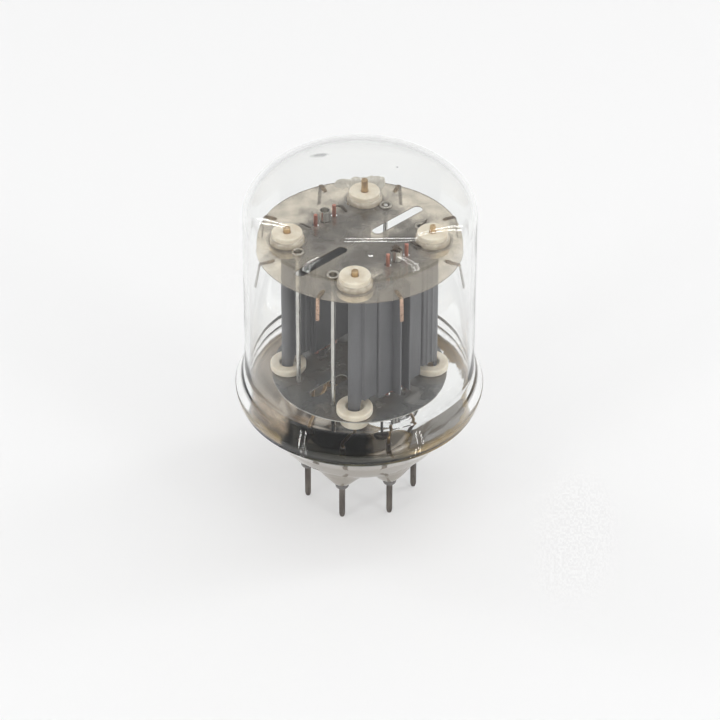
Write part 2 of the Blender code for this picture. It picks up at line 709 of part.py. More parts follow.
def thick_line(points, thickness):
    """Outline of a bent strip seen from its edge, with mitred bends."""
    sides = ([], [])
    for i, point in enumerate(points):
        here = Vector(point)
        before = (here - Vector(points[i - 1])).normalized() if i else None
        after = (Vector(points[i + 1]) - here).normalized() if i + 1 < len(points) else None
        along = ((before or after) + (after or before)).normalized()
        across = Vector((-along.y, along.x))
        bend = abs(along.dot(before or after))
        for side, sign in zip(sides, (1, -1)):
            side.append(tuple(here + across * (sign * thickness / (2 * bend))))
    return sides[0] + sides[1][::-1]


def build_springs(home, copper):
    seat = UPPER_MICA_TOP + SEAT_GAP + SPRING_SHEET / 2
    edge = UPPER_MICA_RADIUS + SEAT_GAP + SPRING_SHEET / 2
    wall = BULB_RADIUS - BULB_WALL - SEAT_GAP - SPRING_SHEET
    bend = arc((edge - SPRING_BEND, seat - SPRING_BEND), SPRING_BEND, 90.0, SPRING_SLOPE, COARSE_STEPS)
    side_view = [(edge - SPRING_LENGTH, seat)] + bend + [(wall, seat - SPRING_HANG)]
    outline = thick_line(side_view, SPRING_SHEET)
    for i in range(SPRING_COUNT):
        turn = SPRING_PHASE + 2 * math.pi * i / SPRING_COUNT
        spring = flat_plate(f"bulb_spring_{i + 1}", [outline], SPRING_WIDTH, copper, home)
        frame = Matrix((
            (math.cos(turn), 0.0, math.sin(turn)),
            (math.sin(turn), 0.0, -math.cos(turn)),
            (0.0, 1.0, 0.0),
        ))
        spring.rotation_euler = frame.to_euler()


def build_getters(home, metal):
    top = LOWER_MICA_TOP - MICA_THICKNESS - SEAT_GAP
    head = LOWER_MICA_TOP - GETTER_HANG
    rim = head - GETTER_DEPTH
    profile = [
        (0.0, top),
        (GETTER_STALK_RADIUS, top),
        (GETTER_STALK_RADIUS, head),
        (GETTER_RADIUS, head),
        (GETTER_RADIUS, rim),
        (GETTER_RADIUS - GETTER_WALL, rim),
        (GETTER_RADIUS - GETTER_WALL, head - GETTER_WALL),
        (0.0, head - GETTER_WALL),
    ]
    for i, side in enumerate((-1, 1)):
        getter = turned(f"getter_{i + 1}", profile, metal, home, ROUND_STEPS)
        getter.location = (side * GETTER_X, side * GETTER_Y, 0.0)


def build_leads(home, metal):
    """One lead from the head of each pin to the foot of the element that it feeds."""
    post_end = lower_boss_bottom() - POST_DROP
    grid_end = LOWER_MICA_TOP - GRID_ROD_DROP
    heater_end = LOWER_MICA_TOP - HEATER_DROP
    post = corners()
    ends = (
        (HEATER_SPREAD, UNIT_Y, heater_end),
        (*post[0], post_end),
        (-GRID_ROD_X, UNIT_Y, grid_end),
        (-HEATER_SPREAD, UNIT_Y, heater_end),
        (*post[2], post_end),
        (-HEATER_SPREAD, -UNIT_Y, heater_end),
        (GRID_ROD_X, -UNIT_Y, grid_end),
    )
    start = PIN_TOP + SEAT_GAP
    for i, ((x, y), (end_x, end_y, end_z)) in enumerate(zip(pin_places(), ends)):
        finish = end_z - SEAT_GAP
        points = [(x, y, start), (x, y, start + LEAD_RISE), (end_x, end_y, finish - LEAD_RISE)]
        wire(f"lead_{i + 1}", points + [(end_x, end_y, finish)], LEAD_RADIUS, metal, home, 1)


def build():
    clear_scene()
    home = make_collection(PART_NAME)
    cutters = make_collection("cutters")
    glass = make_material("glass", (0.95, 0.96, 0.95), 0.02, transmission=1.0)
    mica = make_material("mica", (0.42, 0.40, 0.36), 0.3)
    ceramic = make_material("ceramic", (0.82, 0.76, 0.66), 0.4)
    carbon = make_material("carbonised_nickel", (0.05, 0.05, 0.06), 0.6, 0.4)
    nickel = make_material("nickel", (0.6, 0.58, 0.54), 0.3, 1.0)
    copper = make_material("copper", (0.55, 0.28, 0.18), 0.35, 1.0)
    tarnish = make_material("tarnished_pins", (0.16, 0.15, 0.14), 0.45, 1.0)
    bronze = make_material("browned_nickel", (0.42, 0.30, 0.16), 0.4, 1.0)
    oxide = make_material("heater_coating", (0.85, 0.85, 0.83), 0.8)
    build_bulb(home, glass)
    build_stem(home, cutters, glass)
    build_pins(home, tarnish)
    build_micas(home, mica)
    build_bushings(home, ceramic)
    build_anodes(home, cutters, carbon)
    build_posts(home, bronze)
    build_cathodes(home, nickel, oxide)
    build_grids(home, copper)
    build_support_rods(home, nickel)
    build_springs(home, copper)
    build_getters(home, tarnish)
    build_leads(home, bronze)


build()
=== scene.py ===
import math
import bpy
from mathutils import Matrix, Vector, noise


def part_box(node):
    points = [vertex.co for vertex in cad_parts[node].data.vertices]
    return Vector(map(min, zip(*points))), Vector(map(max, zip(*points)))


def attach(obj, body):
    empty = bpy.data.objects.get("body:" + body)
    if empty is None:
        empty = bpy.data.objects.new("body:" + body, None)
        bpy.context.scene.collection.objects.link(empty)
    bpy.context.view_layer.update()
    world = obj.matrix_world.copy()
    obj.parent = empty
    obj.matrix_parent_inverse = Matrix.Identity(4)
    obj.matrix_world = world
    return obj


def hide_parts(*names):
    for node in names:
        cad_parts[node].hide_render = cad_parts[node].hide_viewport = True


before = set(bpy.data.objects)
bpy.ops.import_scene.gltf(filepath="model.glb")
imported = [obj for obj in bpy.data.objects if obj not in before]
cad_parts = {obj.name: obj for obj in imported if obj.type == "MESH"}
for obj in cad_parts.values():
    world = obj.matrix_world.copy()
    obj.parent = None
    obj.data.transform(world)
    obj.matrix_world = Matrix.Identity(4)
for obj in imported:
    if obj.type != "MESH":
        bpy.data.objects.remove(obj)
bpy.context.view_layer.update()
mm = 0.001
viewLook = {
    "azimuth": -43.4,       # degrees, as are the next two
    "elevation": 38.46,
    "roll": -0.19,
    "distance": 1.0,
    "height": 36.64 * mm,   # of the point that the camera looks at
    "focal": 4365.0,        # pixels, as are the next two
    "frame": 720.0,
    "axisX": 359.4,
    "sensor": 36.0,
    "near": 0.05,
    "far": 20.0,
}
viewTurn = math.radians(viewLook["azimuth"])
pinNumbers = range(1, 8)


# Shapes


def addPiece(name, shape, stuff, nodes=(), sharp=40):
    verts, faces = shape
    mesh = bpy.data.meshes.new(name)
    mesh.from_pydata(verts, [], faces)
    mesh.update()
    mesh.shade_smooth()
    mesh.set_sharp_from_angle(angle=math.radians(sharp))
    mesh.materials.append(stuff)
    piece = bpy.data.objects.new(name, mesh)
    bpy.context.scene.collection.objects.link(piece)
    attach(piece, "root")
    if nodes:
        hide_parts(*nodes)
    return piece


def middleOf(node):
    low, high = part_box(node)
    return (low + high) / 2, low, high


def fromPhoto(across, away):
    # model x and y of a place that is measured across the photo and away from the camera
    return (across * math.cos(viewTurn) - away * math.sin(viewTurn),
            across * math.sin(viewTurn) + away * math.cos(viewTurn))


def joined(*shapes):
    verts, faces = [], []
    for newVerts, newFaces in shapes:
        base = len(verts)
        verts += newVerts
        faces += [[base + i for i in face] for face in newFaces]
    return verts, faces


def moved(shape, offset=(0, 0, 0), turn=0.0):
    matrix = Matrix.Translation(Vector(offset)) @ Matrix.Rotation(turn, 4, "Z")   # turned, then moved
    return [tuple(matrix @ Vector(v)) for v in shape[0]], shape[1]


def spun(outline, sides, ring=False):
    # a turned shape from (radius, height) points, down its outer side; a ring closes on itself
    verts, faces, rows = [], [], []
    for r, z in outline:
        if r < 0.0001 * mm:
            rows.append([len(verts)] * sides)
            verts.append((0.0, 0.0, z))
            continue
        rows.append(list(range(len(verts), len(verts) + sides)))
        for i in range(sides):
            turn = 2 * math.pi * i / sides
            verts.append((r * math.cos(turn), r * math.sin(turn), z))
    pairs = list(zip(rows, rows[1:] + rows[:1])) if ring else list(zip(rows, rows[1:]))
    for upper, lower in pairs:
        for i in range(sides):
            j = (i + 1) % sides
            face = list(dict.fromkeys([upper[i], lower[i], lower[j], upper[j]]))
            if len(face) > 2:
                faces.append(face)
    return verts, faces


def softened(outline, radius, steps=4, ring=False):
    # the outline with each corner rounded, by no more than this share of its sides
    share = 0.45
    made = []
    count = len(outline)
    for i, point in enumerate(outline):
        here = Vector(point)
        if not ring and i in (0, count - 1):
            made.append(tuple(here))
            continue
        back = Vector(outline[i - 1]) - here
        ahead = Vector(outline[(i + 1) % count]) - here
        reach = min(radius, back.length * share, ahead.length * share)
        start = here + back.normalized() * reach
        end = here + ahead.normalized() * reach
        for k in range(steps + 1):
            t = k / steps
            made.append(tuple(start * (1 - t) ** 2 + here * 2 * t * (1 - t) + end * t * t))
    return made


def turned(outline, edge, steps, sides, spot, ring=False):
    # a turned piece with soft corners, on the upright line through the spot
    return moved(spun(softened(outline, edge, steps, ring), sides, ring), (spot.x, spot.y, 0.0))


def arc(centre, radius, start, end, steps):
    turns = [math.radians(start + (end - start) * i / steps) for i in range(steps + 1)]
    return [(centre[0] + radius * math.cos(t), centre[1] + radius * math.sin(t)) for t in turns]


def circle(centre, radius, steps):
    return arc(centre, radius, 0, 360, steps)[:-1]


def between(points, place):
    # the height at a place on a line of (place, height) points
    for (a, high), (b, low) in zip(points, points[1:]):
        if a <= place < b:
            return high + (low - high) * (place - a) / (b - a)
    return points[-1][1]


def ringFaces(rows, count):
    # the skin between rings of points, closed at both ends
    faces = []
    for i in range(rows - 1):
        for k in range(count):
            a = i * count + k
            b = i * count + (k + 1) % count
            faces.append([a, b, b + count, a + count])
    last = (rows - 1) * count
    return faces + [list(range(count))[::-1], [last + k for k in range(count)]]


def gridFaces(rows, columns):
    faces = []
    row = columns + 1
    for i in range(rows):
        for k in range(columns):
            a = i * row + k
            faces.append([a, a + row, a + row + 1, a + 1])
    return faces


def tube(points, radius, sides=10):
    # a round wire through points, with its frame carried along
    path = [Vector(p) for p in points]
    verts = []
    side = None
    for i, here in enumerate(path):
        ahead = path[min(i + 1, len(path) - 1)] - path[max(i - 1, 0)]
        ahead.normalize()
        if side is None:
            side = ahead.orthogonal().normalized()
        side = (side - ahead * side.dot(ahead)).normalized()
        other = ahead.cross(side)
        for k in range(sides):
            turn = 2 * math.pi * k / sides
            verts.append(tuple(here + (side * math.cos(turn) + other * math.sin(turn)) * radius))
    return verts, ringFaces(len(path), sides)


def smoothPath(points, steps=6):
    # a Catmull-Rom curve through the points
    path = [Vector(p) for p in points]
    path = [path[0] * 2 - path[1]] + path + [path[-1] * 2 - path[-2]]
    made = []
    for i in range(1, len(path) - 2):
        a, b, c, d = path[i - 1:i + 3]
        for k in range(steps):
            t = k / steps
            made.append((b * 2 + (c - a) * t + (a * 2 - b * 5 + c * 4 - d) * t * t
                         + (b * 3 - a - c * 3 + d) * t ** 3) / 2)
    made.append(path[-2])
    return made


def plateShape(outlines, thickness, height, edge):
    # a plate with holes, from plan outlines, its middle at the height
    curve = bpy.data.curves.new("outline", "CURVE")
    curve.dimensions = "2D"
    curve.fill_mode = "BOTH"
    curve.extrude = thickness / 2 - edge
    curve.bevel_depth = edge
    curve.bevel_resolution = 1
    curve.offset = -edge
    for outline in outlines:
        spline = curve.splines.new("POLY")
        spline.points.add(len(outline) - 1)
        spline.use_cyclic_u = True
        for point, (x, y) in zip(spline.points, outline):
            point.co = (x, y, 0.0, 1.0)
    holder = bpy.data.objects.new("outline", curve)
    bpy.context.scene.collection.objects.link(holder)
    ready = holder.evaluated_get(bpy.context.evaluated_depsgraph_get())
    mesh = bpy.data.meshes.new_from_object(ready)
    shape = ([(v.co.x, v.co.y, v.co.z + height) for v in mesh.vertices],
             [list(p.vertices) for p in mesh.polygons])
    bpy.data.objects.remove(holder)
    bpy.data.curves.remove(curve)
    bpy.data.meshes.remove(mesh)
    return shape


leanLook = {"lift": 0.35 * mm, "slope": 0.035, "from": 50.0 * mm}


def leaned(shape):
    # the upper mica and what it carries sit a little higher towards the camera, as in the photo
    verts = []
    for x, y, z in shape[0]:
        away = y * math.cos(viewTurn) - x * math.sin(viewTurn)
        rise = leanLook["lift"] - leanLook["slope"] * away if z > leanLook["from"] else 0.0
        verts.append((x, y, z + rise))
    return verts, shape[1]


# Material helpers


class Graph:
    # a material or group that is being wired up

    def __init__(self, tree):
        self.tree = tree

    def add(self, kind, **values):
        made = self.tree.nodes.new(kind)
        for key, value in values.items():
            if hasattr(made, key) and key not in made.inputs:
                setattr(made, key, value)
            else:
                self.feed(made.inputs[key], value)
        return made

    def feed(self, socket, value):
        if isinstance(value, bpy.types.NodeSocket):
            self.tree.links.new(value, socket)
        elif socket.type == "RGBA" and len(value) == 3:
            socket.default_value = (*value, 1.0)
        else:
            socket.default_value = value

    def feedAll(self, sockets, values):
        for socket, value in zip(sockets, values):
            self.feed(socket, value)

    def math(self, how, *values, clamp=False):
        made = self.add("ShaderNodeMath", operation=how, use_clamp=clamp)
        self.feedAll(made.inputs, values)
        return made.outputs[0]

    def times(self, *values):
        product = values[0]
        for value in values[1:]:
            product = self.math("MULTIPLY", product, value)
        return product

    def plus(self, value, part, share=1.0, clamp=False):
        return self.math("MULTIPLY_ADD", part, share, value, clamp=clamp)   # value + part * share

    def length(self, x, y):
        return self.math("SQRT", self.plus(self.times(y, y), x, x))

    def mix(self, share, first, second, how="MIX"):
        made = self.add("ShaderNodeMix", data_type="RGBA", blend_type=how)
        colours = [socket for socket in made.inputs if socket.type == "RGBA"]
        self.feedAll([made.inputs[0]] + colours, (share, first, second))
        return [socket for socket in made.outputs if socket.type == "RGBA"][0]

    def span(self, value, low, high, start=0.0, end=1.0, smooth=False):
        kind = "SMOOTHSTEP" if smooth else "LINEAR"
        made = self.add("ShaderNodeMapRange", interpolation_type=kind)
        words = ("Value", "From Min", "From Max", "To Min", "To Max")
        self.feedAll([made.inputs[word] for word in words], (value, low, high, start, end))
        return made.outputs[0]

    def noise(self, place, scale, detail, rough, stretch=None):
        if stretch:
            place = self.add("ShaderNodeMapping", Vector=place, Scale=stretch).outputs[0]
        made = self.add("ShaderNodeTexNoise", Vector=place, Scale=scale, Detail=detail, Roughness=rough)
        return made.outputs[0]

    def place(self):
        return self.add("ShaderNodeTexCoord").outputs["Object"]

    def split(self, vector):
        return self.add("ShaderNodeSeparateXYZ", Vector=vector).outputs

    def bump(self, height, distance):
        return self.add("ShaderNodeBump", Height=height, Distance=distance).outputs[0]

    def alongView(self, x, y):
        # how far towards the camera a place lies
        return self.math("SUBTRACT", self.times(x, math.sin(viewTurn)), self.times(y, math.cos(viewTurn)))


def newGroup(name, inputs, outputs):
    tree = bpy.data.node_groups.new(name, "ShaderNodeTree")
    for word, kind, value in inputs:
        socket = tree.interface.new_socket(name=word, in_out="INPUT", socket_type=f"NodeSocket{kind}")
        socket.default_value = value
    for word in outputs:
        tree.interface.new_socket(name=word, in_out="OUTPUT", socket_type="NodeSocketFloat")
    g = Graph(tree)
    return g, g.add("NodeGroupInput").outputs, g.add("NodeGroupOutput").inputs


def placeGroup(g, tree, **values):
    holder = g.add("ShaderNodeGroup", node_tree=tree)
    for key, value in values.items():
        g.feed(holder.inputs[key.replace("_", " ")], value)
    return holder.outputs


def newStuff(name):
    made = bpy.data.materials.new(name)
    made.use_nodes = True
    made.node_tree.nodes.clear()
    return made, Graph(made.node_tree)


def finishStuff(g, shader):
    out = g.add("ShaderNodeOutputMaterial")
    g.tree.links.new(shader, out.inputs["Surface"])


def principled(g, **values):
    words = {key.replace("_", " "): value for key, value in values.items()}
    return g.add("ShaderNodeBsdfPrincipled", **words).outputs[0]


def blended(g, share, first, second):
    both = g.add("ShaderNodeMixShader")
    g.feedAll(both.inputs, (share, first, second))
    return both.outputs[0]


cloudLook = {"cloud": (4.0, 0.55), "grain": (2.0, 0.5), "span": (0.32, 0.68)}   # detail and roughness


def makeCloudGroup():
    # a broad cloud and a fine grain, both from 0 to 1
    look = cloudLook
    inputs = [
        ("Scale", "Float", 300.0),
        ("Grain Scale", "Float", 3000.0),
        ("Stretch", "Vector", (1.0, 1.0, 1.0)),
    ]
    g, given, out = newGroup("cloud_and_grain", inputs, ["Cloud", "Grain"])
    stretched = g.add("ShaderNodeVectorMath", operation="MULTIPLY")
    g.feedAll(stretched.inputs, (g.place(), given["Stretch"]))
    place = stretched.outputs[0]
    g.feed(out["Cloud"], g.span(g.noise(place, given["Scale"], *look["cloud"]), *look["span"]))
    g.feed(out["Grain"], g.span(g.noise(place, given["Grain Scale"], *look["grain"]), *look["span"]))
    return g.tree


axesLook = {"ragged": (280.0, 5.0, 0.62), "broad": (75.0, 2.0, 0.5)}


def makeAxesGroup():
    # places across the photo and away from it, and two noises for ragged edges
    g, _, out = newGroup("photo_axes", [], ["Across", "Away", "Height", "Ragged", "Broad"])
    place = g.place()
    axes = g.split(place)
    x, y = axes["X"], axes["Y"]
    g.feed(out["Across"], g.math("ADD", g.times(x, math.cos(viewTurn)), g.times(y, math.sin(viewTurn))))
    g.feed(out["Away"], g.math("SUBTRACT", g.times(y, math.cos(viewTurn)), g.times(x, math.sin(viewTurn))))
    g.feed(out["Height"], axes["Z"])
    g.feed(out["Ragged"], g.noise(place, *axesLook["ragged"]))
    g.feed(out["Broad"], g.noise(place, *axesLook["broad"]))
    return g.tree


cloudGroup = makeCloudGroup()
axesGroup = makeAxesGroup()


# Glass envelope, one body from the dome to the exhaust tip


glassLook = {
    "sides": 256,
    "wall": 1.2 * mm,
    "flareOut": 2.15 * mm,
    "domeRise": 10.8 * mm,
    "domeDrop": 0.6 * mm,       # of the inner dome under the outer one
    "domeSteps": 56,
    "squareness": 2.25,
    "wallSteps": 8,
    "flareTop": 36.6 * mm,
    "flareSteps": 24,
    "flarePower": 1.2,
    "rimHeight": 30.7 * mm,
    "rimLift": 0.75 * mm,
    "rimBead": 0.15 * mm,
    "rimWall": 1.75 * mm,
    "seamHeight": 28.4 * mm,
    "seamDepth": 0.75 * mm,
    "cornerInset": 8.15 * mm,
    "cornerHeight": 19.0 * mm,
    "cornerWall": 1.1 * mm,
    "waistInset": 0.35 * mm,
    "floorRadius": 11.5 * mm,
    "floorHeight": 14.0 * mm,
    "dishWall": 2.2 * mm,
    "dishBend": 0.75,
    "fineStep": 0.16 * mm,
    "exhaustRadius": 2.6 * mm,
    "exhaustRoot": 4.2 * mm,
    "exhaustDrop": 1.9 * mm,
    "exhaustTip": 8.0 * mm,
    "bossShape": (              # mm from the pin's centre, and the share of the drop
        (0.0, 1.0), (1.3, 1.0), (1.5, 0.86), (1.9, 0.76), (2.5, 0.66), (3.3, 0.48), (4.1, 0.3), (5.2, 0.1),
        (6.2, 0.0),
    ),
    "bossLow": 9.45 * mm,
    "bossClear": 6.4 * mm,
    "filmSpan": (4.4 * mm, 26.6 * mm),   # the least radius and the top of the film under the skin
    "wave": (55.0, 1.0, 0.4),
    "ripple": (190.0, 2.0, 0.5, (1.0, 1.0, 0.35)),
    "rippleShare": 0.12,
    "waveDepth": 0.07 * mm,
}


def makeGlass():
    look = glassLook
    stuff, g = newStuff("clear_glass")
    place = g.place()
    height = g.plus(g.noise(place, *look["wave"]), g.noise(place, *look["ripple"]), look["rippleShare"])
    normal = g.bump(height, look["waveDepth"])
    clear = principled(g, Base_Color=(0.985, 0.99, 0.985), Roughness=0.0, IOR=1.4, Transmission_Weight=1.0,
                       Normal=normal)
    ray = g.add("ShaderNodeLightPath").outputs
    blurred = g.times(ray["Is Glossy Ray"], g.math("SUBTRACT", 1.0, ray["Is Singular Ray"]))
    lit = g.math("MAXIMUM", g.math("MAXIMUM", ray["Is Shadow Ray"], ray["Is Diffuse Ray"]), blurred)
    through = g.add("ShaderNodeBsdfTransparent", Color=(0.96, 0.965, 0.96)).outputs[0]
    finishStuff(g, blended(g, lit, clear, through))
    return stuff


def domeOutline(radius, rise, base):
    look = glassLook
    points = []
    for i in range(look["domeSteps"] + 1):
        t = math.pi / 2 * (1 - i / look["domeSteps"])
        r = radius * max(math.cos(t), 0.0) ** (2 / look["squareness"])
        points.append((r if i else 0.0, base + rise * math.sin(t) ** (2 / look["squareness"])))
    return points


def bowlOutline(corner, floor, steps):
    bend = (corner[0] - glassLook["dishBend"] * (corner[1] - floor[1]), floor[1])
    made = []
    for i in range(steps + 1):
        t = i / steps
        made.append(tuple((1 - t) ** 2 * a + 2 * t * (1 - t) * b + t * t * c
                          for a, b, c in zip(corner, bend, floor)))
    return made


def denser(outline, step):
    made = [outline[0]]
    for a, b in zip(outline, outline[1:]):
        count = max(1, round(math.dist(a, b) / step))
        made += [tuple(p + (q - p) * i / count for p, q in zip(a, b)) for i in range(1, count + 1)]
    return made


def straightWall(radius, shoulder):
    # the bulb's cylinder, down from below the dome
    look = glassLook
    steps = look["wallSteps"]
    return [(radius, shoulder + (look["flareTop"] - shoulder) * i / steps) for i in range(1, steps + 1)]


def flare(start, end, low):
    # the wall from the straight part of the bulb, out and down
    look = glassLook
    made = []
    for i in range(1, look["flareSteps"] + 1):
        t = i / look["flareSteps"]
        r = start + (end - start) * t ** look["flarePower"]
        made.append((r, look["flareTop"] + (low - look["flareTop"]) * t))
    return made


def innerFlare(rim):
    look = glassLook
    start = rim - look["flareOut"] - look["wall"]
    return flare(start, rim - look["rimWall"], look["seamHeight"] + 0.5 * mm)[::-1]


def skirtOutline(rim, corner):
    # the flared edge, the seam under it and the cone down to the corner of the dish
    look = glassLook
    seam = look["seamHeight"]
    flareLow = look["rimHeight"] + look["rimLift"]
    flareEnd = rim - look["rimBead"]
    lip = [
        (flareEnd, flareLow),
        (flareEnd + 0.02 * mm, flareLow - 0.25 * mm),
        (rim, flareLow - 0.4 * mm),
        (rim - 0.02 * mm, look["rimHeight"] - 0.2 * mm),
        (rim - 0.45 * mm, seam + 0.35 * mm),
        (rim - look["seamDepth"] - 0.35 * mm, seam),
        (rim - look["seamDepth"], seam - 0.35 * mm),
        (rim - 1.25 * mm, seam - 0.9 * mm),
        (rim - 2.1 * mm, seam - 1.7 * mm),
    ]
    waist = ((lip[-1][0] + corner[0]) / 2 - look["waistInset"], (lip[-1][1] + corner[1]) / 2)
    under = softened(lip + [waist, corner], 1.0 * mm, 5)
    return flare(rim - look["flareOut"], flareEnd, flareLow) + under[1:-1]


def dishOutline(corner):
    # the bowl, its floor and the exhaust tip
    look = glassLook
    floor, stem = look["floorHeight"], look["exhaustRadius"]
    tip = look["exhaustTip"] + stem
    floorEdge = (look["floorRadius"], floor)
    made = denser(bowlOutline(corner, floorEdge, 12), look["fineStep"])
    made += denser([floorEdge, (look["bossClear"], floor)], look["fineStep"])[1:]
    root = [
        (look["bossClear"], floor),
        (look["exhaustRoot"], floor),
        (stem, floor - look["exhaustDrop"]),
        (stem, tip),
    ]
    made += softened(root, 0.9 * mm, 5)[1:]
    return made + arc((0.0, tip), stem, 0, -90, 10)[1:-1] + [(0.0, look["exhaustTip"])]


def withBosses(verts, extra=0.0):
    # the dish drawn down round each pin
    look = glassLook
    pins = [middleOf(f"base_pin_{i}")[0] for i in pinNumbers]
    made = []
    for x, y, z in verts:
        if z <= look["cornerHeight"] + 0.5 * mm and math.hypot(x, y) >= look["bossClear"]:
            nearest = min(math.hypot(x - p.x, y - p.y) for p in pins)
            z += (look["bossLow"] + extra - z) * between(look["bossShape"], (nearest + extra) / mm)
        made.append((x, y, z))
    return made


def makeEnvelope(stuff, filmStuff):
    look = glassLook
    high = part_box("glass_bulb")[1]
    rim, seam = high.x, look["seamHeight"]
    shoulder = high.z - look["domeRise"]
    corner = (rim - look["cornerInset"], look["cornerHeight"])
    outer = domeOutline(rim - look["flareOut"], look["domeRise"], shoulder)
    outer += straightWall(rim - look["flareOut"], shoulder)
    outer += skirtOutline(rim, corner) + dishOutline(corner)
    floor = look["floorHeight"] + look["dishWall"]
    innerCorner = (corner[0] - look["cornerWall"], corner[1] + look["dishWall"])
    seal = rim - look["rimWall"]
    inner = rim - look["flareOut"] - look["wall"]
    inside = [(0.0, floor)] + bowlOutline(innerCorner, (look["floorRadius"], floor), 20)[::-1]
    inside += [
        (seal - 0.5 * mm, seam - 1.4 * mm),
        (seal - 0.1 * mm, seam - 0.35 * mm),
        (seal - 0.12 * mm, seam + 0.2 * mm),
    ]
    inside += innerFlare(rim) + straightWall(inner, shoulder)[::-1]
    inside += domeOutline(inner, look["domeRise"] - look["domeDrop"], shoulder - look["domeDrop"])[::-1]
    verts, faces = spun(outer, look["sides"])
    shape = joined((withBosses(verts), faces), spun(inside, look["sides"]))
    least, top = look["filmSpan"]
    makeOuterFilm(filmStuff, [(r, z) for r, z in outer if z < top and r > least])
    return addPiece("glass_envelope", shape, stuff, ["glass_bulb", "glass_base"], sharp=80)


# Getter film, a mirror on the inner wall of the base, and the same film as seen through the skin


filmLook = {
    "gap": 0.03 * mm,
    "inset": 0.12 * mm,
    "silver": (0.58, 0.52, 0.45),
    "roughness": 0.2,
    "reach": 13.0 * mm,
    "outerSilver": (0.40, 0.36, 0.315),
    "outerRoughness": 0.44,
    "outerReach": 40.0 * mm,
    "edge": (0.30, 0.21, 0.09),
    "edgeSpan": (0.2 * mm, 2.8 * mm),
    "fade": (-0.3 * mm, 0.9 * mm),
    "backFade": (-6.0 * mm, 4.0 * mm),   # where the film shrinks to nothing, away from the camera
    "margin": 7.0 * mm,
    "ragged": 5.0 * mm,
    "broad": 9.0 * mm,
    "low": 24.6 * mm,
    "lowRagged": 3.2 * mm,
    "top": 31.4 * mm,
    "topRagged": 2.0 * mm,
    # painted reflection: the black of the film in front, and where it lies
    "paintedBlack": (0.010, 0.010, 0.009),
    "paintedBlackLeft": (-16.4 * mm, -15.4 * mm),
    "paintedBlackRight": (5.0 * mm, 8.0 * mm),
    "paintedBlackBack": (0.0 * mm, 5.0 * mm),
    "stainLow": (25.4 * mm, 27.0 * mm),
    "stainLeft": (-12.0 * mm, -8.0 * mm),
    "goldLeft": (9.0 * mm, 23.0 * mm),
    "olive": (0.040, 0.037, 0.027),
    "gold": (0.34, 0.245, 0.12),
    "blue": (0.10, 0.11, 0.15),
}


def paintedReflectionAndStain(g, axes, colour, roughness):
    # the film in front painted black, a painted reflection of the shade under the lower mica, and the real
    # stain above it that turns golden to the right
    look = filmLook
    across, ragged, broad = axes["Across"], axes["Ragged"], axes["Broad"]
    # where the film is painted black, as a painted reflection of the shade that it mirrors
    dark = g.times(g.span(g.plus(across, broad, 2.0 * mm), *look["paintedBlackLeft"], smooth=True),
                   g.span(g.plus(across, ragged, 8.0 * mm), *look["paintedBlackRight"], 1.0, 0.0, True),
                   g.span(g.plus(axes["Away"], broad, 4.0 * mm), *look["paintedBlackBack"], 1.0, 0.0, True))
    colour = g.mix(dark, colour, look["paintedBlack"])
    stain = g.times(g.span(g.plus(axes["Height"], ragged, 1.6 * mm), *look["stainLow"], smooth=True),
                    g.span(across, *look["stainLeft"], smooth=True))
    gold = g.span(g.plus(across, broad, 10.0 * mm), *look["goldLeft"], smooth=True)
    colour = g.mix(stain, colour, g.mix(gold, look["olive"], look["gold"]))
    return colour, g.span(dark, 0.0, 1.0, roughness, 0.07)


def makeFilmStuff(name, silver, roughness, reach, paintedBlack):
    look = filmLook
    stuff, g = newStuff(name)
    axes = placeGroup(g, axesGroup)
    height, ragged = axes["Height"], axes["Ragged"]
    shorter = g.span(axes["Away"], *look["backFade"], 0.0, reach, True)
    taken = g.plus(g.plus(axes["Across"], ragged, look["ragged"]), axes["Broad"], look["broad"])
    left = g.math("SUBTRACT", reach + look["margin"], g.math("ADD", taken, shorter))
    lift = g.math("SUBTRACT", height, g.plus(look["low"], ragged, look["lowRagged"]))
    under = g.math("SUBTRACT", look["top"], g.plus(height, ragged, look["topRagged"]))
    edge = g.math("MINIMUM", g.math("MAXIMUM", left, g.times(lift, 2.0)), under)
    alpha = g.span(edge, *look["fade"], 0.0, 0.985, True)
    brown = g.span(edge, *look["edgeSpan"], 1.0, 0.0, True)
    colour = g.mix(brown, silver, look["edge"])
    rough = roughness
    # the inner film gets the painted black reflection and the stain
    if paintedBlack:
        colour, rough = paintedReflectionAndStain(g, axes, colour, roughness)
    finishStuff(g, principled(g, Base_Color=colour, Metallic=1.0, Roughness=rough, Alpha=alpha))
    return stuff


def makeFilm(stuff):
    gap = filmLook["gap"]
    look = glassLook
    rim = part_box("glass_bulb")[1].x
    seal = rim - look["rimWall"] - gap
    floor = look["floorHeight"] + look["dishWall"] + gap
    corner = (rim - look["cornerInset"] - look["cornerWall"] - gap, look["cornerHeight"] + look["dishWall"])
    outline = [(0.0, floor)] + bowlOutline(corner, (look["floorRadius"], floor), 20)[::-1]
    outline += [(seal - 0.6 * mm, look["seamHeight"] - 1.4 * mm)]
    outline += [(seal - 0.2 * mm, look["seamHeight"] + 0.2 * mm)]
    outline += [(r - gap, z) for r, z in innerFlare(rim) if z < look["rimHeight"] + 1.0 * mm]
    return addPiece("getter_film", spun(outline, 128), stuff, sharp=80)


def makeOuterFilm(stuff, outline):
    inset = filmLook["inset"]
    slant = inset * 0.7   # the same inset, measured level and upright
    verts, faces = spun([(max(r - slant, 0.0), z + slant) for r, z in outline], glassLook["sides"])
    return addPiece("base_film", (withBosses(verts, inset), faces), stuff, sharp=80)


seamLook = {
    "outline": ((0.95, 28.35), (0.9, 28.0), (1.45, 27.4), (2.3, 26.6)),   # mm in from the rim, and height
    "olive": (0.030, 0.029, 0.020),
    "dust": (0.20, 0.185, 0.11),
    "goldLeft": (10.0 * mm, 24.0 * mm),
    "blueRight": (-10.0 * mm, -3.0 * mm),
    "sides": 160,
}


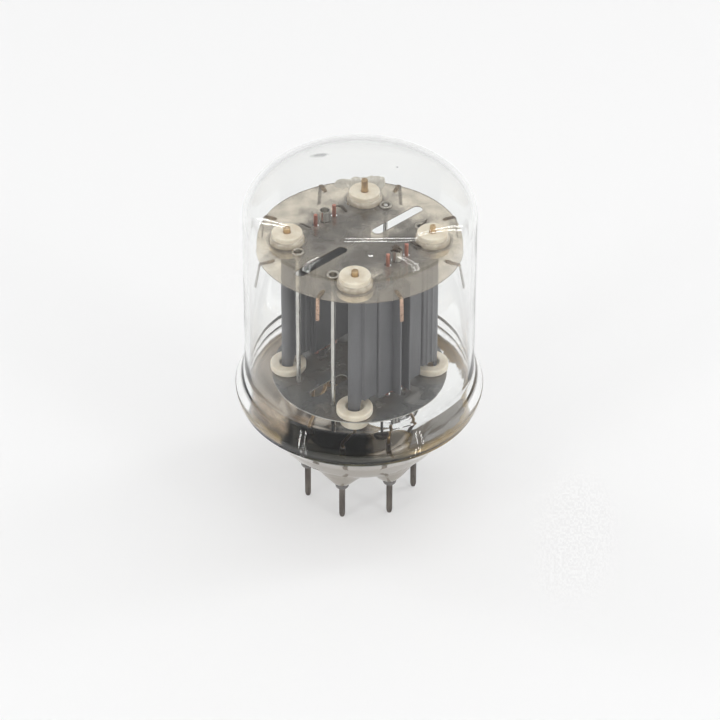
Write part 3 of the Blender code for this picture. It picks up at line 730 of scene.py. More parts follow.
def makeSeamStuff():
    # the stain inside the seam: olive black in front, golden to the right, bluish to the left
    look = seamLook
    stuff, g = newStuff("seam_stain")
    axes = placeGroup(g, axesGroup)
    ragged = axes["Ragged"]
    shifted = g.plus(axes["Across"], axes["Broad"], 12.0 * mm)
    gold = g.span(shifted, *look["goldLeft"], smooth=True)
    blue = g.span(g.plus(shifted, ragged, 10.0 * mm), *look["blueRight"], 1.0, 0.0, True)
    colour = g.mix(gold, look["olive"], filmLook["gold"])
    colour = g.mix(g.span(ragged, 0.5, 0.72, 0.0, 0.75), colour, look["dust"])
    colour = g.mix(blue, colour, filmLook["blue"])
    alpha = g.span(ragged, 0.25, 0.5, 0.72, 0.98)
    finishStuff(g, principled(g, Base_Color=colour, Metallic=0.6, Roughness=0.12, Alpha=alpha))
    return stuff


def makeSeam(stuff):
    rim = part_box("glass_bulb")[1].x
    outline = [(rim - inward * mm, height * mm) for inward, height in seamLook["outline"]]
    shape = spun(softened(outline, 0.3 * mm), seamLook["sides"])
    return addPiece("seam_stain", shape, stuff, sharp=80)


# Dirt on the inside of the dome


smudgeLook = {
    "colour": (0.16, 0.16, 0.165),
    "pale": (0.30, 0.30, 0.30),
    "marks": (     # across, away and the two half sizes
        (-9.0 * mm, 10.6 * mm, 2.3 * mm, 0.95 * mm),
        (8.2 * mm, 5.3 * mm, 0.35 * mm, 0.3 * mm),
    ),
    "spread": (1.5, 1.9),
    "gap": 0.04 * mm,
    "steps": 12,
}


def makeSmudgeStuff():
    stuff, g = newStuff("dome_smudge")
    axes = placeGroup(g, axesGroup)
    masks = []
    for across, away, halfX, halfY in smudgeLook["marks"]:
        dx = g.math("DIVIDE", g.math("SUBTRACT", axes["Across"], across), halfX)
        dy = g.math("DIVIDE", g.math("SUBTRACT", axes["Away"], away), halfY)
        masks.append(g.span(g.plus(g.length(dx, dy), axes["Ragged"], 0.9), 0.75, 1.6, 1.0, 0.0, True))
    mask = g.math("MAXIMUM", *masks)
    colour = g.mix(axes["Ragged"], smudgeLook["colour"], smudgeLook["pale"])
    finishStuff(g, principled(g, Base_Color=colour, Roughness=0.6, Alpha=g.times(mask, 0.62)))
    return stuff


def makeSmudge(stuff):
    glass, look = glassLook, smudgeLook
    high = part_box("glass_bulb")[1]
    radius = high.x - glass["flareOut"] - glass["wall"]
    rise = glass["domeRise"] - glass["domeDrop"]
    base = high.z - glass["domeRise"] - glass["domeDrop"] - look["gap"]
    power = glass["squareness"]
    steps = look["steps"]
    parts = []
    for across, away, halfX, halfY in look["marks"]:
        verts = []
        for i in range(steps + 1):
            for k in range(steps + 1):
                u = across + halfX * look["spread"][0] * (2 * i / steps - 1)
                v = away + halfY * look["spread"][1] * (2 * k / steps - 1)
                share = min(math.hypot(u, v) / radius, 1.0)
                verts.append((*fromPhoto(u, v), base + rise * (1 - share ** power) ** (1 / power)))
        parts.append((verts, gridFaces(steps, steps)))
    return addPiece("dome_smudge", joined(*parts), stuff, sharp=80)


# Micas


unitLook = {
    "shifts": (0.95 * mm, -0.35 * mm),   # of each cathode and its grid along X
    "rodReach": 2.85 * mm,
    "rodTop": 73.3 * mm,
    "rodRadius": 0.45 * mm,
}
micaLook = {
    "sides": 160,
    "holeSides": 40,
    "smallSides": 20,
    "thickness": 0.28 * mm,
    "edge": 0.04 * mm,
    "slotHalf": 1.25 * mm,
    "slotStart": 4.3 * mm,
    "postHole": 3.42 * mm,
    "cathodeHole": 1.35 * mm,
    "gridHole": 0.75 * mm,
    "tear": ((8.9, 13.5), (8.6, 12.5), (7.9, 11.7), (7.4, 11.3), (7.5, 12.2), (8.0, 13.1)),   # mm
    "swirl": (130.0, 5.0, 0.62),
    "soot": (0.135, 0.115, 0.095),
    "sootHalfX": 18.5 * mm,
    "sootHalfY": 9.4 * mm,
    "sootY": 7.4 * mm,
    # the colour of the rings round the bushing feet: soot, and painted shade over the flanges under the
    # mica
    "ring": (0.30, 0.25, 0.19),
    "ringSpan": (4.7 * mm, 6.0 * mm),
    "mottle": (0.5, 0.49, 0.47),
}
sheetLook = {
    "upper_mica": {
        "slotMargin": 4.3 * mm, "rodHole": 0.97 * mm,
        "haze": (0.66, 0.61, 0.55), "share": 0.31,
        "tint": (0.96, 0.915, 0.83), "edge": (0.16, 0.13, 0.10), "soot": 0.6,
    },
    "lower_mica": {
        # its dark grey haze is painted shade, for the shade it lies in under the anodes and that the film
        # below mirrors
        "slotMargin": 5.05 * mm, "rodHole": 0.6 * mm,
        "haze": (0.14, 0.14, 0.138), "share": 0.9,
        "tint": (0.9, 0.88, 0.84), "edge": (0.5, 0.48, 0.44), "soot": 0.05,
    },
    "mica_flake": {
        "haze": (0.66, 0.61, 0.53), "share": 0.85,
        "tint": (0.96, 0.92, 0.84), "edge": (0.6, 0.55, 0.47), "soot": 0.0,
    },
}


def makeSootAndShadeGroup():
    # soft dark deposits round the cathodes, and round the feet of the bushings rings of soot and painted
    # shade
    look = micaLook
    g, _, out = newGroup("soot", [], ["Soot", "Rings"])
    place = g.place()
    axes = g.split(place)
    swirl = g.noise(place, *look["swirl"])
    spots = []
    for side in (-1, 1):
        dx = g.math("DIVIDE", axes["X"], look["sootHalfX"])
        dy = g.math("DIVIDE", g.math("SUBTRACT", axes["Y"], side * look["sootY"]), look["sootHalfY"])
        spots.append(g.span(g.plus(g.length(dx, dy), swirl, 2.2), 1.35, 2.3, 1.0, 0.0, True))
    g.feed(out["Soot"], g.math("MAXIMUM", *spots))
    # round each bushing foot, a ring of soot and painted shade
    foot = middleOf("upper_bushing_1")[0]
    dx = g.math("SUBTRACT", g.math("ABSOLUTE", axes["X"]), foot.x)
    dy = g.math("SUBTRACT", g.math("ABSOLUTE", axes["Y"]), foot.y)
    ring = g.plus(g.length(dx, dy), swirl, 1.6 * mm)
    g.feed(out["Rings"], g.span(ring, *look["ringSpan"], 1.0, 0.0, True))
    return g.tree


def darker(colour, share):
    return tuple(part * share for part in colour)


def makeMicaStuff(name, sootAndShadeGroup):
    # a sheet that lets a tinted share of the light straight through and scatters the rest
    look = sheetLook[name]
    stuff, g = newStuff(f"{name}_sheet")
    clouds = placeGroup(g, cloudGroup, Scale=70.0, Grain_Scale=900.0)
    cloud, speck = clouds["Cloud"], clouds["Grain"]
    mottle = placeGroup(g, cloudGroup, Scale=330.0, Grain_Scale=1500.0)["Cloud"]
    sootAndShade = placeGroup(g, sootAndShadeGroup)
    soot, rings = sootAndShade["Soot"], sootAndShade["Rings"]
    colour = g.mix(cloud, look["haze"], darker(look["haze"], 0.8))
    colour = g.mix(g.span(speck, 0.8, 1.0, 0.0, 0.6), colour, darker(look["haze"], 0.6))
    # the rings at the bushing feet darken the sheet with soot and painted shade
    colour = g.mix(g.times(rings, 0.8), colour, micaLook["ring"])
    colour = g.mix(soot, colour, micaLook["soot"])
    colour = g.mix(mottle, colour, micaLook["mottle"], "MULTIPLY")
    normal = g.add("ShaderNodeNewGeometry").outputs["Normal"]
    side = g.math("SUBTRACT", 1.0, g.math("ABSOLUTE", g.split(normal)["Z"]))
    edge = g.span(side, 0.4, 0.7)
    patches = g.plus(g.times(cloud, 0.5), mottle, 0.5)
    cover = g.span(patches, 0.2, 0.8, look["share"] * 0.7, look["share"] * 1.35)
    # the rings also make the sheet more solid, so the flanges under it lie in painted shade
    extra = g.math("MAXIMUM", g.times(soot, look["soot"]), g.times(rings, look["soot"] * 0.9))
    cover = g.plus(g.math("ADD", cover, extra), edge, 0.75, clamp=True)
    solid = principled(g, Base_Color=g.mix(edge, colour, look["edge"]), Roughness=0.16,
                       Specular_IOR_Level=1.0)
    through = g.add("ShaderNodeBsdfTransparent", Color=look["tint"]).outputs[0]
    finishStuff(g, blended(g, cover, through, solid))
    return stuff


def stadium(start, end, half, steps=14):
    return arc((end, 0.0), half, -90.0, 90.0, steps) + arc((start, 0.0), half, 90.0, 270.0, steps)


def makeMica(node, stuff):
    look, sheet = micaLook, sheetLook[node]
    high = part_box(node)[1]
    half = look["slotHalf"]
    slot = stadium(look["slotStart"] + half, high.x - sheet["slotMargin"] - half, half)
    outlines = [circle((0.0, 0.0), high.x, look["sides"]), slot, [(-x, -y) for x, y in slot]]
    for i in range(1, 5):
        spot = middleOf(f"upper_bushing_{i}")[0]
        outlines.append(circle((spot.x, spot.y), look["postHole"], look["holeSides"]))
        spot = middleOf(f"support_rod_{i}")[0]
        outlines.append(circle((spot.x, spot.y), sheet["rodHole"], look["smallSides"]))
    for i in (1, 2):
        spot = middleOf(f"cathode_{i}")[0]
        x = spot.x + unitLook["shifts"][i - 1]
        outlines.append(circle((x, spot.y), look["cathodeHole"], 28))
        for side in (-1, 1):
            rodX = x + side * unitLook["rodReach"]
            outlines.append(circle((rodX, spot.y), look["gridHole"], look["smallSides"]))
    if node == "upper_mica":
        outlines.append([(x * mm, y * mm) for x, y in look["tear"]])
    thickness = look["thickness"]
    shape = plateShape(outlines, thickness, high.z - thickness / 2, look["edge"])
    return addPiece(f"{node}_sheet", leaned(shape), stuff, [node], sharp=50)


flakeLook = {
    "across": 14,
    "along": 90,
    "start": 32.0,          # degrees round the mica, as is the next
    "sweep": 30.0,
    "rises": ((0.0, 0.0), (0.03, 1.0), (0.3, 1.0), (0.42, 0.75), (0.68, 0.6), (0.85, 0.4), (1.0, 0.0)),
    "inner": (2.2, 2.2, 1.6),   # mm: the base, the share of the rise and the share of the tear
    "outer": (-0.4, 0.5, 0.6),
    "lift": (0.1, 1.35, 0.3),
    "curl": 1.6,
    "least": 0.05 * mm,
}


def flakeEdge(share, t, rise, place, octaves):
    tear = noise.fractal(Vector(place), 0.6, 2.0, octaves)
    return (share[0] + share[1] * rise + share[2] * tear) * mm


def makeFlake(stuff):
    # a torn layer of the upper mica, lifted along its back edge
    look = flakeLook
    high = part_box("upper_mica")[1]
    verts = []
    for i in range(look["along"] + 1):
        t = i / look["along"]
        turn = math.radians(look["start"] + look["sweep"] * t)
        rise = between(look["rises"], t)
        inner = high.x - flakeEdge(look["inner"], t, rise, (t * 9.0, 3.1, 0.0), 5)
        outer = high.x + flakeEdge(look["outer"], t, rise, (t * 5.0, 7.7, 0.0), 3)
        for k in range(look["across"] + 1):
            u = k / look["across"]
            r = inner + (outer - inner) * u
            base, curl, wave = look["lift"]
            ripple = noise.noise(Vector((t * 7.0, u * 3.0, 1.0)))
            lift = (base + (curl * u ** look["curl"] + wave * ripple) * rise) * mm
            verts.append((r * math.cos(turn), r * math.sin(turn), high.z + max(lift, look["least"])))
    faces = [face[::-1] for face in gridFaces(look["along"], look["across"])]
    return addPiece("mica_flake", leaned((verts, faces)), stuff, sharp=80)


strapLook = {
    "paths": (      # across and away in mm at both ends, then the width
        ((-5.4, 13.1), (-2.8, 11.2), 0.9),
        ((-13.8, 5.6), (-10.9, 4.4), 0.4),
        ((11.1, -1.2), (13.9, -3.3), 0.55),
        ((13.9, 5.6), (15.5, 7.5), 0.4),
        ((11.4, -0.2), (12.6, -3.9), 0.3),
    ),
    "sheet": 0.14 * mm,
    "arch": 0.35 * mm,
    "bend": 0.25 * mm,
    "taper": 0.55,
    "steps": 12,
}


def makeStraps(stuff):
    look = strapLook
    sheet = look["sheet"]
    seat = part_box("upper_mica")[1].z + sheet
    for i, (start, end, width) in enumerate(look["paths"]):
        a, b = Vector(start) * mm, Vector(end) * mm
        side = Vector((-(b - a).y, (b - a).x)).normalized()
        verts = []
        for k in range(look["steps"] + 1):
            t = k / look["steps"]
            swell = math.sin(math.pi * t)
            half = width * mm / 2 * (1 - look["taper"] + look["taper"] * swell)
            z = seat + look["arch"] * swell
            middle = a.lerp(b, t) + side * look["bend"] * math.sin(5 * t + i)
            for across, up in ((-half, 0.0), (half, 0.0), (half, sheet), (-half, sheet)):
                spot = middle + side * across
                verts.append((*fromPhoto(spot.x, spot.y), z + up))
        shape = leaned((verts, ringFaces(look["steps"] + 1, 4)))
        addPiece(f"mica_strap_{i + 1}", shape, stuff, sharp=50)


crustLook = {
    "radius": 1.3 * mm,
    "half": 0.95 * mm,
    "rings": 12,
    "sides": 20,
    "lift": 0.1 * mm,
    "least": 0.75,
    "lumps": 0.75,
}


def makeCrust(stuff):
    # the burnt lump on the front cathode
    look = crustLook
    spot, _, high = middleOf("cathode_1")
    turns = [math.pi * i / look["rings"] for i in range(look["rings"] + 1)]
    outline = [(look["radius"] * math.sin(t), look["half"] * math.cos(t)) for t in turns]
    verts, faces = spun(outline, look["sides"])
    x, y, z = spot.x + unitLook["shifts"][0], spot.y, high.z + look["lift"]
    lumpy = []
    for vert in verts:
        size = look["least"] + look["lumps"] * noise.fractal(Vector(vert) * 900.0, 0.6, 2.0, 4)
        lumpy.append((vert[0] * size + x, vert[1] * size + y, vert[2] * size + z))
    addPiece("cathode_crust", leaned((lumpy, faces)), stuff, sharp=50)


# Ceramic bushings


bushingLook = {
    "sides": 56,
    "edgeSteps": 5,
    "flange": 4.1 * mm,
    "sleeve": 1.95 * mm,
    "sleeveDepth": 1.3 * mm,
    "upperBore": 0.84 * mm,
    "upperBoss": (3.5 * mm, 3.55 * mm),   # its radius at the top and at the foot
    "upperDrop": 0.3 * mm,
    "upperHeight": 3.5 * mm,
    "upperEdge": 0.28 * mm,
    "lowerBore": 1.05 * mm,
    "lowerNeck": 3.3 * mm,
    "lowerFlange": 1.7 * mm,
    "lowerEdge": 0.45 * mm,
    "cream": (0.80, 0.73, 0.61),
    "shade": (0.66, 0.57, 0.44),
    "speck": (0.52, 0.43, 0.32),
}
beadLook = {
    "inner": 3.45 * mm,
    "reach": 0.64 * mm,
    "height": 1.9,      # of the bead, in shares of its reach
    "lift": 0.02 * mm,
    "steps": 12,
    "sides": 64,
    "light": (0.52, 0.45, 0.35),
    "dark": (0.34, 0.28, 0.21),
}


def makeCeramicStuff():
    look = bushingLook
    stuff, g = newStuff("cream_ceramic")
    clouds = placeGroup(g, cloudGroup, Scale=420.0, Grain_Scale=4200.0)
    cloud, grain = clouds["Cloud"], clouds["Grain"]
    colour = g.mix(g.span(cloud, 0.08, 1.05), look["cream"], look["shade"])
    colour = g.mix(g.span(grain, 0.78, 1.0, 0.0, 0.22), colour, look["speck"])
    finishStuff(g, principled(g, Base_Color=colour, Roughness=g.span(cloud, 0.0, 1.0, 0.33, 0.49),
                              Normal=g.bump(grain, 0.007 * mm), Subsurface_Weight=0.15,
                              Subsurface_Radius=(0.6, 0.45, 0.3), Subsurface_Scale=0.001))
    return stuff


def makeBeadStuff():
    stuff, g = newStuff("glazed_bead")
    cloud = placeGroup(g, cloudGroup, Grain_Scale=600.0)["Grain"]
    colour = g.mix(g.span(cloud, 0.08, 0.92), beadLook["light"], beadLook["dark"])
    finishStuff(g, principled(g, Base_Color=colour, Roughness=g.span(cloud, 0.0, 1.0, 0.105, 0.195),
                              Coat_Weight=1.0, Coat_Roughness=0.06, Coat_IOR=1.7))
    return stuff


def makeUpperBushing(i, ceramic, bead):
    look = bushingLook
    spot, low, high = middleOf(f"upper_bushing_{i}")
    top, foot = high.z - look["upperDrop"], high.z - look["upperHeight"]
    outline = [
        (look["upperBore"], top),
        (look["upperBoss"][0], top),
        (look["upperBoss"][1], foot),
        (look["flange"], foot),
        (look["flange"], low.z),
        (look["sleeve"], low.z),
        (look["sleeve"], low.z + look["sleeveDepth"]),
        (look["upperBore"], low.z + look["sleeveDepth"]),
    ]
    shape = turned(outline, look["upperEdge"], look["edgeSteps"], look["sides"], spot, ring=True)
    addPiece(f"bushing_upper_{i}", leaned(shape), ceramic, [f"upper_bushing_{i}"])
    look = beadLook
    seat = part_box("upper_mica")[1].z
    bulge = arc((0.0, 0.0), look["reach"], 90, 0, look["steps"])
    ring = [(look["inner"], seat)]
    ring += [(look["inner"] + r, seat + look["lift"] + z * look["height"]) for r, z in bulge]
    shape = moved(spun(ring, look["sides"], ring=True), (spot.x, spot.y, 0.0))
    addPiece(f"bushing_bead_{i}", leaned(shape), bead)


def makeLowerBushing(i, ceramic):
    look = bushingLook
    spot, low, high = middleOf(f"lower_bushing_{i}")
    outline = [
        (look["sleeve"], high.z),
        (look["flange"], high.z),
        (look["flange"], high.z - look["lowerFlange"]),
        (look["lowerNeck"], high.z - look["lowerFlange"]),
        (look["lowerNeck"], low.z),
        (look["lowerBore"], low.z),
        (look["lowerBore"], high.z - look["sleeveDepth"]),
        (look["sleeve"], high.z - look["sleeveDepth"]),
    ]
    shape = turned(outline, look["lowerEdge"], look["edgeSteps"], look["sides"], spot, ring=True)
    addPiece(f"bushing_lower_{i}", shape, ceramic, [f"lower_bushing_{i}"])


# Anodes, each a folded sheet round one cathode


anodeLook = {
    "sheet": 0.3 * mm,
    "depth": 2.05 * mm,
    "columnRadius": 1.35 * mm,
    "columnReach": 0.9 * mm,
    "columnStep": 0.23 * mm,
    "columnMargin": 0.1 * mm,
    "foldX": 6.9 * mm,
    "foldHalf": 0.45 * mm,
    "foldDepth": 0.6 * mm,
    "foldSlope": 0.15 * mm,
    "foldLead": 0.3 * mm,
    "foldEdge": 0.14 * mm,
    "ribHeight": 0.28 * mm,
    "ribHalf": 0.34 * mm,
    "ribPitch": 1.5 * mm,
    "panelLow": 2.4 * mm,
    "panelTop": 2.9 * mm,
    "panelRise": 1.7 * mm,
    "finX": (-2.2 * mm, 0.6 * mm),
    "finDepth": 2.7 * mm,
    "finHalf": 0.2 * mm,
    "finEdge": 0.12 * mm,
    "light": (0.078, 0.077, 0.084),
    "dark": (0.046, 0.045, 0.050),
    # painted shade on the faces that look inwards, darkest towards the top
    "inner": (0.008, 0.008, 0.009),
    "innerShadeY": (9.5 * mm, 12.5 * mm),
    "innerShadeZ": (50.0 * mm, 58.0 * mm),
    "speck": (0.13, 0.13, 0.135),
}


def makeCarbonStuff():
    look = anodeLook
    stuff, g = newStuff("carbonised_nickel")
    cloud = placeGroup(g, cloudGroup, Scale=160.0, Stretch=(1.0, 1.0, 0.3))["Cloud"]
    grain = placeGroup(g, cloudGroup, Grain_Scale=2600.0)["Grain"]
    colour = g.mix(g.span(cloud, 0.0, 1.0, 0.05, 0.95), look["light"], look["dark"])
    axes = g.split(g.place())
    # painted shade: the faces that look inwards, between the two anodes, are darkened towards the top
    facing = g.span(g.math("ABSOLUTE", axes["Y"]), *look["innerShadeY"], 0.8, 0.0, True)
    innerShade = g.times(facing, g.span(axes["Z"], *look["innerShadeZ"], smooth=True))
    colour = g.mix(innerShade, colour, look["inner"])
    colour = g.mix(g.span(grain, 0.64, 1.0, 0.0, 0.17), colour, look["speck"])
    finishStuff(g, principled(g, Base_Color=colour, Roughness=g.span(cloud, 0.0, 1.0, 0.43, 0.57),
                              Specular_IOR_Level=0.9))
    return stuff


def ribPoints(x, w, side):
    look = anodeLook
    made = []
    for k in range(-4, 5):
        t = k / 4
        crown = look["ribHeight"] * (1 + math.cos(math.pi * t)) / 2
        made.append((x - side * t * look["ribHalf"], w + math.copysign(crown, w)))
    return made


def foldPoints(x, w, side):
    look = anodeLook
    deep = w - math.copysign(look["foldDepth"], w)
    far = look["foldHalf"] + look["foldLead"]
    near = look["foldHalf"]
    foot = look["foldHalf"] - look["foldSlope"]
    steps = ((far, w), (near, w), (foot, deep), (-foot, deep), (-near, w), (-far, w))
    return softened([(x + side * along, depth) for along, depth in steps], look["foldEdge"], 3)


def anodeSection(columnX):
    # the plan of the sheet: two columns round the posts, with ribs and folds between them
    look = anodeLook
    neck = columnX - look["columnReach"]
    wallEnd = neck - look["columnStep"]
    depth, foldX, pitch = look["depth"], look["foldX"], look["ribPitch"]
    right = arc((columnX, 0.0), look["columnRadius"], 90.0, -90.0, 20)
    left = arc((-columnX, 0.0), look["columnRadius"], -90.0, -270.0, 20)
    outer = [(neck, -look["columnRadius"]), (wallEnd, -depth)]
    for i in (2, 1):
        outer += ribPoints(foldX + pitch * i, -depth, 1)
    outer += foldPoints(foldX, -depth, 1) + foldPoints(-foldX, -depth, 1)
    outer += [(-wallEnd, -depth), (-neck, -look["columnRadius"])]
    inner = [(-neck, look["columnRadius"]), (-wallEnd, depth)]
    for i in (2, 1):
        inner += ribPoints(-foldX - pitch * i, depth, -1)
    inner += foldPoints(-foldX, depth, -1)
    for x in (-foldX + pitch, foldX - pitch):
        inner += ribPoints(x, depth, -1)
    inner += foldPoints(foldX, depth, -1)
    for i in (1, 2):
        inner += ribPoints(foldX + pitch * i, depth, -1)
    inner += [(wallEnd, depth), (neck, look["columnRadius"])]
    return right + outer + left + inner


def offsetLoop(points, distance):
    made = []
    count = len(points)
    for i, point in enumerate(points):
        here = Vector(point)
        back = (here - Vector(points[i - 1])).normalized()
        ahead = (Vector(points[(i + 1) % count]) - here).normalized()
        along = (back + ahead).normalized()
        normal = Vector((along.y, -along.x))
        made.append(tuple(here + normal * distance / max(along.dot(ahead), 0.5)))
    return made


def sheetWall(section, thickness, span):
    # a closed sheet wall on a plan; span gives each point's lowest and highest height
    count = len(section)
    verts = []
    for ringPoints in (offsetLoop(section, -thickness / 2), offsetLoop(section, thickness / 2)):
        for i, (x, y) in enumerate(ringPoints):
            low, high = span(section[i][0])
            verts += [(x, y, low), (x, y, high)]
    faces = []
    for i in range(count):
        j = (i + 1) % count
        a, b = 2 * i, 2 * j
        c, d = a + 2 * count, b + 2 * count
        faces += [[a, b, b + 1, a + 1], [d, c, c + 1, d + 1], [a + 1, b + 1, d + 1, c + 1], [b, a, c, d]]
    return verts, faces


def boxShape(low, high, edge):
    outline = [(low[0], low[1]), (high[0], low[1]), (high[0], high[1]), (low[0], high[1])]
    outline = softened(outline, edge, 3, ring=True)
    verts = [(x, y, z) for z in (low[2], high[2]) for x, y in outline]
    return verts, ringFaces(2, len(outline))


def makeAnodes(stuff):
    look = anodeLook
    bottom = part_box("lower_mica")[1].z + look["panelLow"]
    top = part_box("upper_mica")[1].z - look["panelTop"]
    for i, side in ((1, -1), (2, 1)):
        _, low, high = middleOf(f"anode_{i}")
        bushing = middleOf(f"lower_bushing_{4 if side < 0 else 1}")[0]
        neck = bushing.x - look["columnReach"] + look["columnMargin"]

        def span(x):
            if abs(x) >= neck:
                return low.z, high.z
            if abs(x) > look["foldX"]:
                return bottom + look["panelRise"], top
            return bottom, top

        parts = [sheetWall(anodeSection(bushing.x), look["sheet"], span)]
        for x in look["finX"]:
            half = look["finHalf"]
            back = (x - half, -look["depth"] - look["finDepth"], bottom)
            parts.append(boxShape(back, (x + half, -look["depth"], top), look["finEdge"]))
        shape = moved(joined(*parts), (0.0, bushing.y, 0.0), 0.0 if side < 0 else math.pi)
        addPiece(f"anode_sheet_{i}", shape, stuff, [f"anode_{i}"], sharp=35)


# Metals


metalLook = {     # light and dark colour, roughness and metallic
    "browned_nickel": ((0.62, 0.45, 0.26), (0.30, 0.19, 0.10), 0.32, 1.0),
    "bright_nickel": ((0.72, 0.70, 0.66), (0.45, 0.43, 0.40), 0.25, 1.0),
    "grid_copper": ((0.66, 0.31, 0.24), (0.36, 0.13, 0.10), 0.42, 1.0),
    "tarnished_pins": ((0.22, 0.20, 0.18), (0.09, 0.08, 0.075), 0.4, 1.0),
    "heater_coating": ((0.8, 0.8, 0.78), (0.6, 0.6, 0.58), 0.7, 0.0),
    "eyelet_metal": ((0.60, 0.56, 0.50), (0.30, 0.27, 0.23), 0.3, 1.0),
    "burnt_strap": ((0.13, 0.095, 0.065), (0.035, 0.03, 0.025), 0.35, 0.8),
}


def makeMetal(name):
    light, dark, rough, metallic = metalLook[name]
    stuff, g = newStuff(name)
    clouds = placeGroup(g, cloudGroup, Scale=500.0, Grain_Scale=3500.0, Stretch=(1.0, 1.0, 0.2))
    cloud, grain = clouds["Cloud"], clouds["Grain"]
    colour = g.mix(g.span(cloud, 0.08, 1.0), light, dark)
    colour = g.mix(g.span(grain, 0.78, 1.0, 0.0, 0.26), colour, darker(dark, 0.5))
    roughness = g.span(cloud, 0.0, 1.0, rough * 0.825, rough * 1.275)
    finishStuff(g, principled(g, Base_Color=colour, Metallic=metallic, Roughness=roughness,
                              Normal=g.bump(grain, 0.0029 * mm)))
    return stuff


postLook = {
    "radii": (0.75 * mm, 0.8 * mm, 0.8 * mm, 0.7 * mm),
    "drops": (0.3 * mm, 0.75 * mm, 1.05 * mm, 0.75 * mm),
    "edge": 0.16 * mm,
    "sides": 32,
}


def makePosts(stuff):
    for i in range(1, 5):
        spot, low, high = middleOf(f"anode_post_{i}")
        radius = postLook["radii"][i - 1]
        top = high.z - postLook["drops"][i - 1]
        outline = [(0.0, top), (radius, top), (radius, low.z), (0.0, low.z)]
        shape = turned(outline, postLook["edge"], 3, postLook["sides"], spot)
        addPiece(f"post_{i}", shape, stuff, [f"anode_post_{i}"])


innerLook = {
    "sleeveOuter": 1.2 * mm,
    "sleeveInner": 1.06 * mm,
    "sleeveEdge": 0.06 * mm,
    "heaterWire": 0.22 * mm,
    "heaterHalf": 0.52 * mm,
    "rodEdge": 0.12 * mm,
    "gridWire": 0.06 * mm,
    "gridDepth": 1.5 * mm,
    "gridOut": 0.5 * mm,
    "gridPitch": 1.1 * mm,
    "gridFoot": 0.4 * mm,
    "gridSteps": 24,
    "gridSquareness": (0.8, 0.55),
}


def makeCathode(i, spot, nickel, oxide):
    look = innerLook
    _, low, high = middleOf(f"cathode_{i}")
    outer, inner = look["sleeveOuter"], look["sleeveInner"]
    outline = [(outer, high.z), (outer, low.z), (inner, low.z), (inner, high.z)]
    shape = turned(outline, look["sleeveEdge"], 2, 40, spot, ring=True)
    addPiece(f"cathode_sleeve_{i}", leaned(shape), nickel, [f"cathode_{i}"])
    _, low, high = middleOf(f"heater_{i}")
    half = look["heaterHalf"]
    crown = high.z - look["heaterWire"] - half
    bow = [(spot.x + x, spot.y, z) for x, z in arc((0.0, crown), half, 180, 0, 12)]
    points = [(spot.x - half, spot.y, low.z)] + bow + [(spot.x + half, spot.y, low.z)]
    shape = leaned(tube(points, look["heaterWire"]))
    addPiece(f"heater_hairpin_{i}", shape, oxide, [f"heater_{i}"])


def makeGrid(i, spot, copper):
    look = innerLook
    radius, top = unitLook["rodRadius"], unitLook["rodTop"]
    for number in (2 * i - 1, 2 * i):
        rod, low, _ = middleOf(f"grid_rod_{number}")
        place = Vector((spot.x + math.copysign(unitLook["rodReach"], rod.x), spot.y, 0.0))
        outline = [(0.0, top), (radius, top), (radius, low.z), (0.0, low.z)]
        shape = turned(outline, look["rodEdge"], 3, 20, place)
        addPiece(f"grid_side_rod_{number}", leaned(shape), copper, [f"grid_rod_{number}"])
    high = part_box(f"grid_winding_{i}")[1]
    reach = unitLook["rodReach"] + look["gridOut"]
    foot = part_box("lower_mica")[1].z + look["gridFoot"]
    steps = look["gridSteps"]
    wide, deep = look["gridSquareness"]
    points = []
    for s in range(int((high.z - foot) / look["gridPitch"]) * steps + 1):
        turn = 2 * math.pi * s / steps
        cx, cy = math.cos(turn), math.sin(turn)
        x = reach * math.copysign(abs(cx) ** wide, cx)
        y = look["gridDepth"] * math.copysign(abs(cy) ** deep, cy)
        points.append((spot.x + x, spot.y + y, foot + look["gridPitch"] * s / steps))
    addPiece(f"grid_wire_{i}", tube(points, look["gridWire"], 5), copper, [f"grid_winding_{i}"])


rodLook = {
    "radius": 0.5 * mm,
    "collar": 1.15 * mm,
    "collarHeight": 0.9 * mm,
    "collarGap": 0.02 * mm,
    "topDrop": 0.5 * mm,
    "edge": 0.12 * mm,
    "eyeletHeight": 0.42 * mm,
    "eyeletOuter": 1.45 * mm,
    "eyeletEdge": 0.16 * mm,
}


def makeRods(nickel, eyeletStuff):
    look = rodLook
    radius, wide = look["radius"], look["collar"]
    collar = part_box("lower_mica")[0].z - look["collarGap"]
    foot = collar - look["collarHeight"]
    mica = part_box("upper_mica")[1].z
    flat = mica + look["eyeletHeight"]
    for i in range(1, 5):
        spot, low, high = middleOf(f"support_rod_{i}")
        top = high.z - look["topDrop"]
        outline = [(0.0, top), (radius, top), (radius, collar), (wide, collar)]
        outline += [(wide, foot), (radius, foot), (radius, low.z), (0.0, low.z)]
        shape = turned(outline, look["edge"], 3, 24, spot)
        addPiece(f"rod_{i}", shape, nickel, [f"support_rod_{i}"])
        spot, low, _ = middleOf(f"rod_eyelet_{i}")
        crimp = low.z - 0.9 * mm
        outline = [
            (0.9 * mm, flat),
            (look["eyeletOuter"], flat),
            (look["eyeletOuter"], mica + 0.01 * mm),
            (0.95 * mm, mica + 0.01 * mm),
            (0.9 * mm, low.z),
            (0.62 * mm, crimp),
            (0.52 * mm, crimp),
            (0.75 * mm, low.z),
        ]
        shape = turned(outline, look["eyeletEdge"], 4, 36, spot, ring=True)
        addPiece(f"eyelet_{i}", leaned(shape), eyeletStuff, [f"rod_eyelet_{i}"])


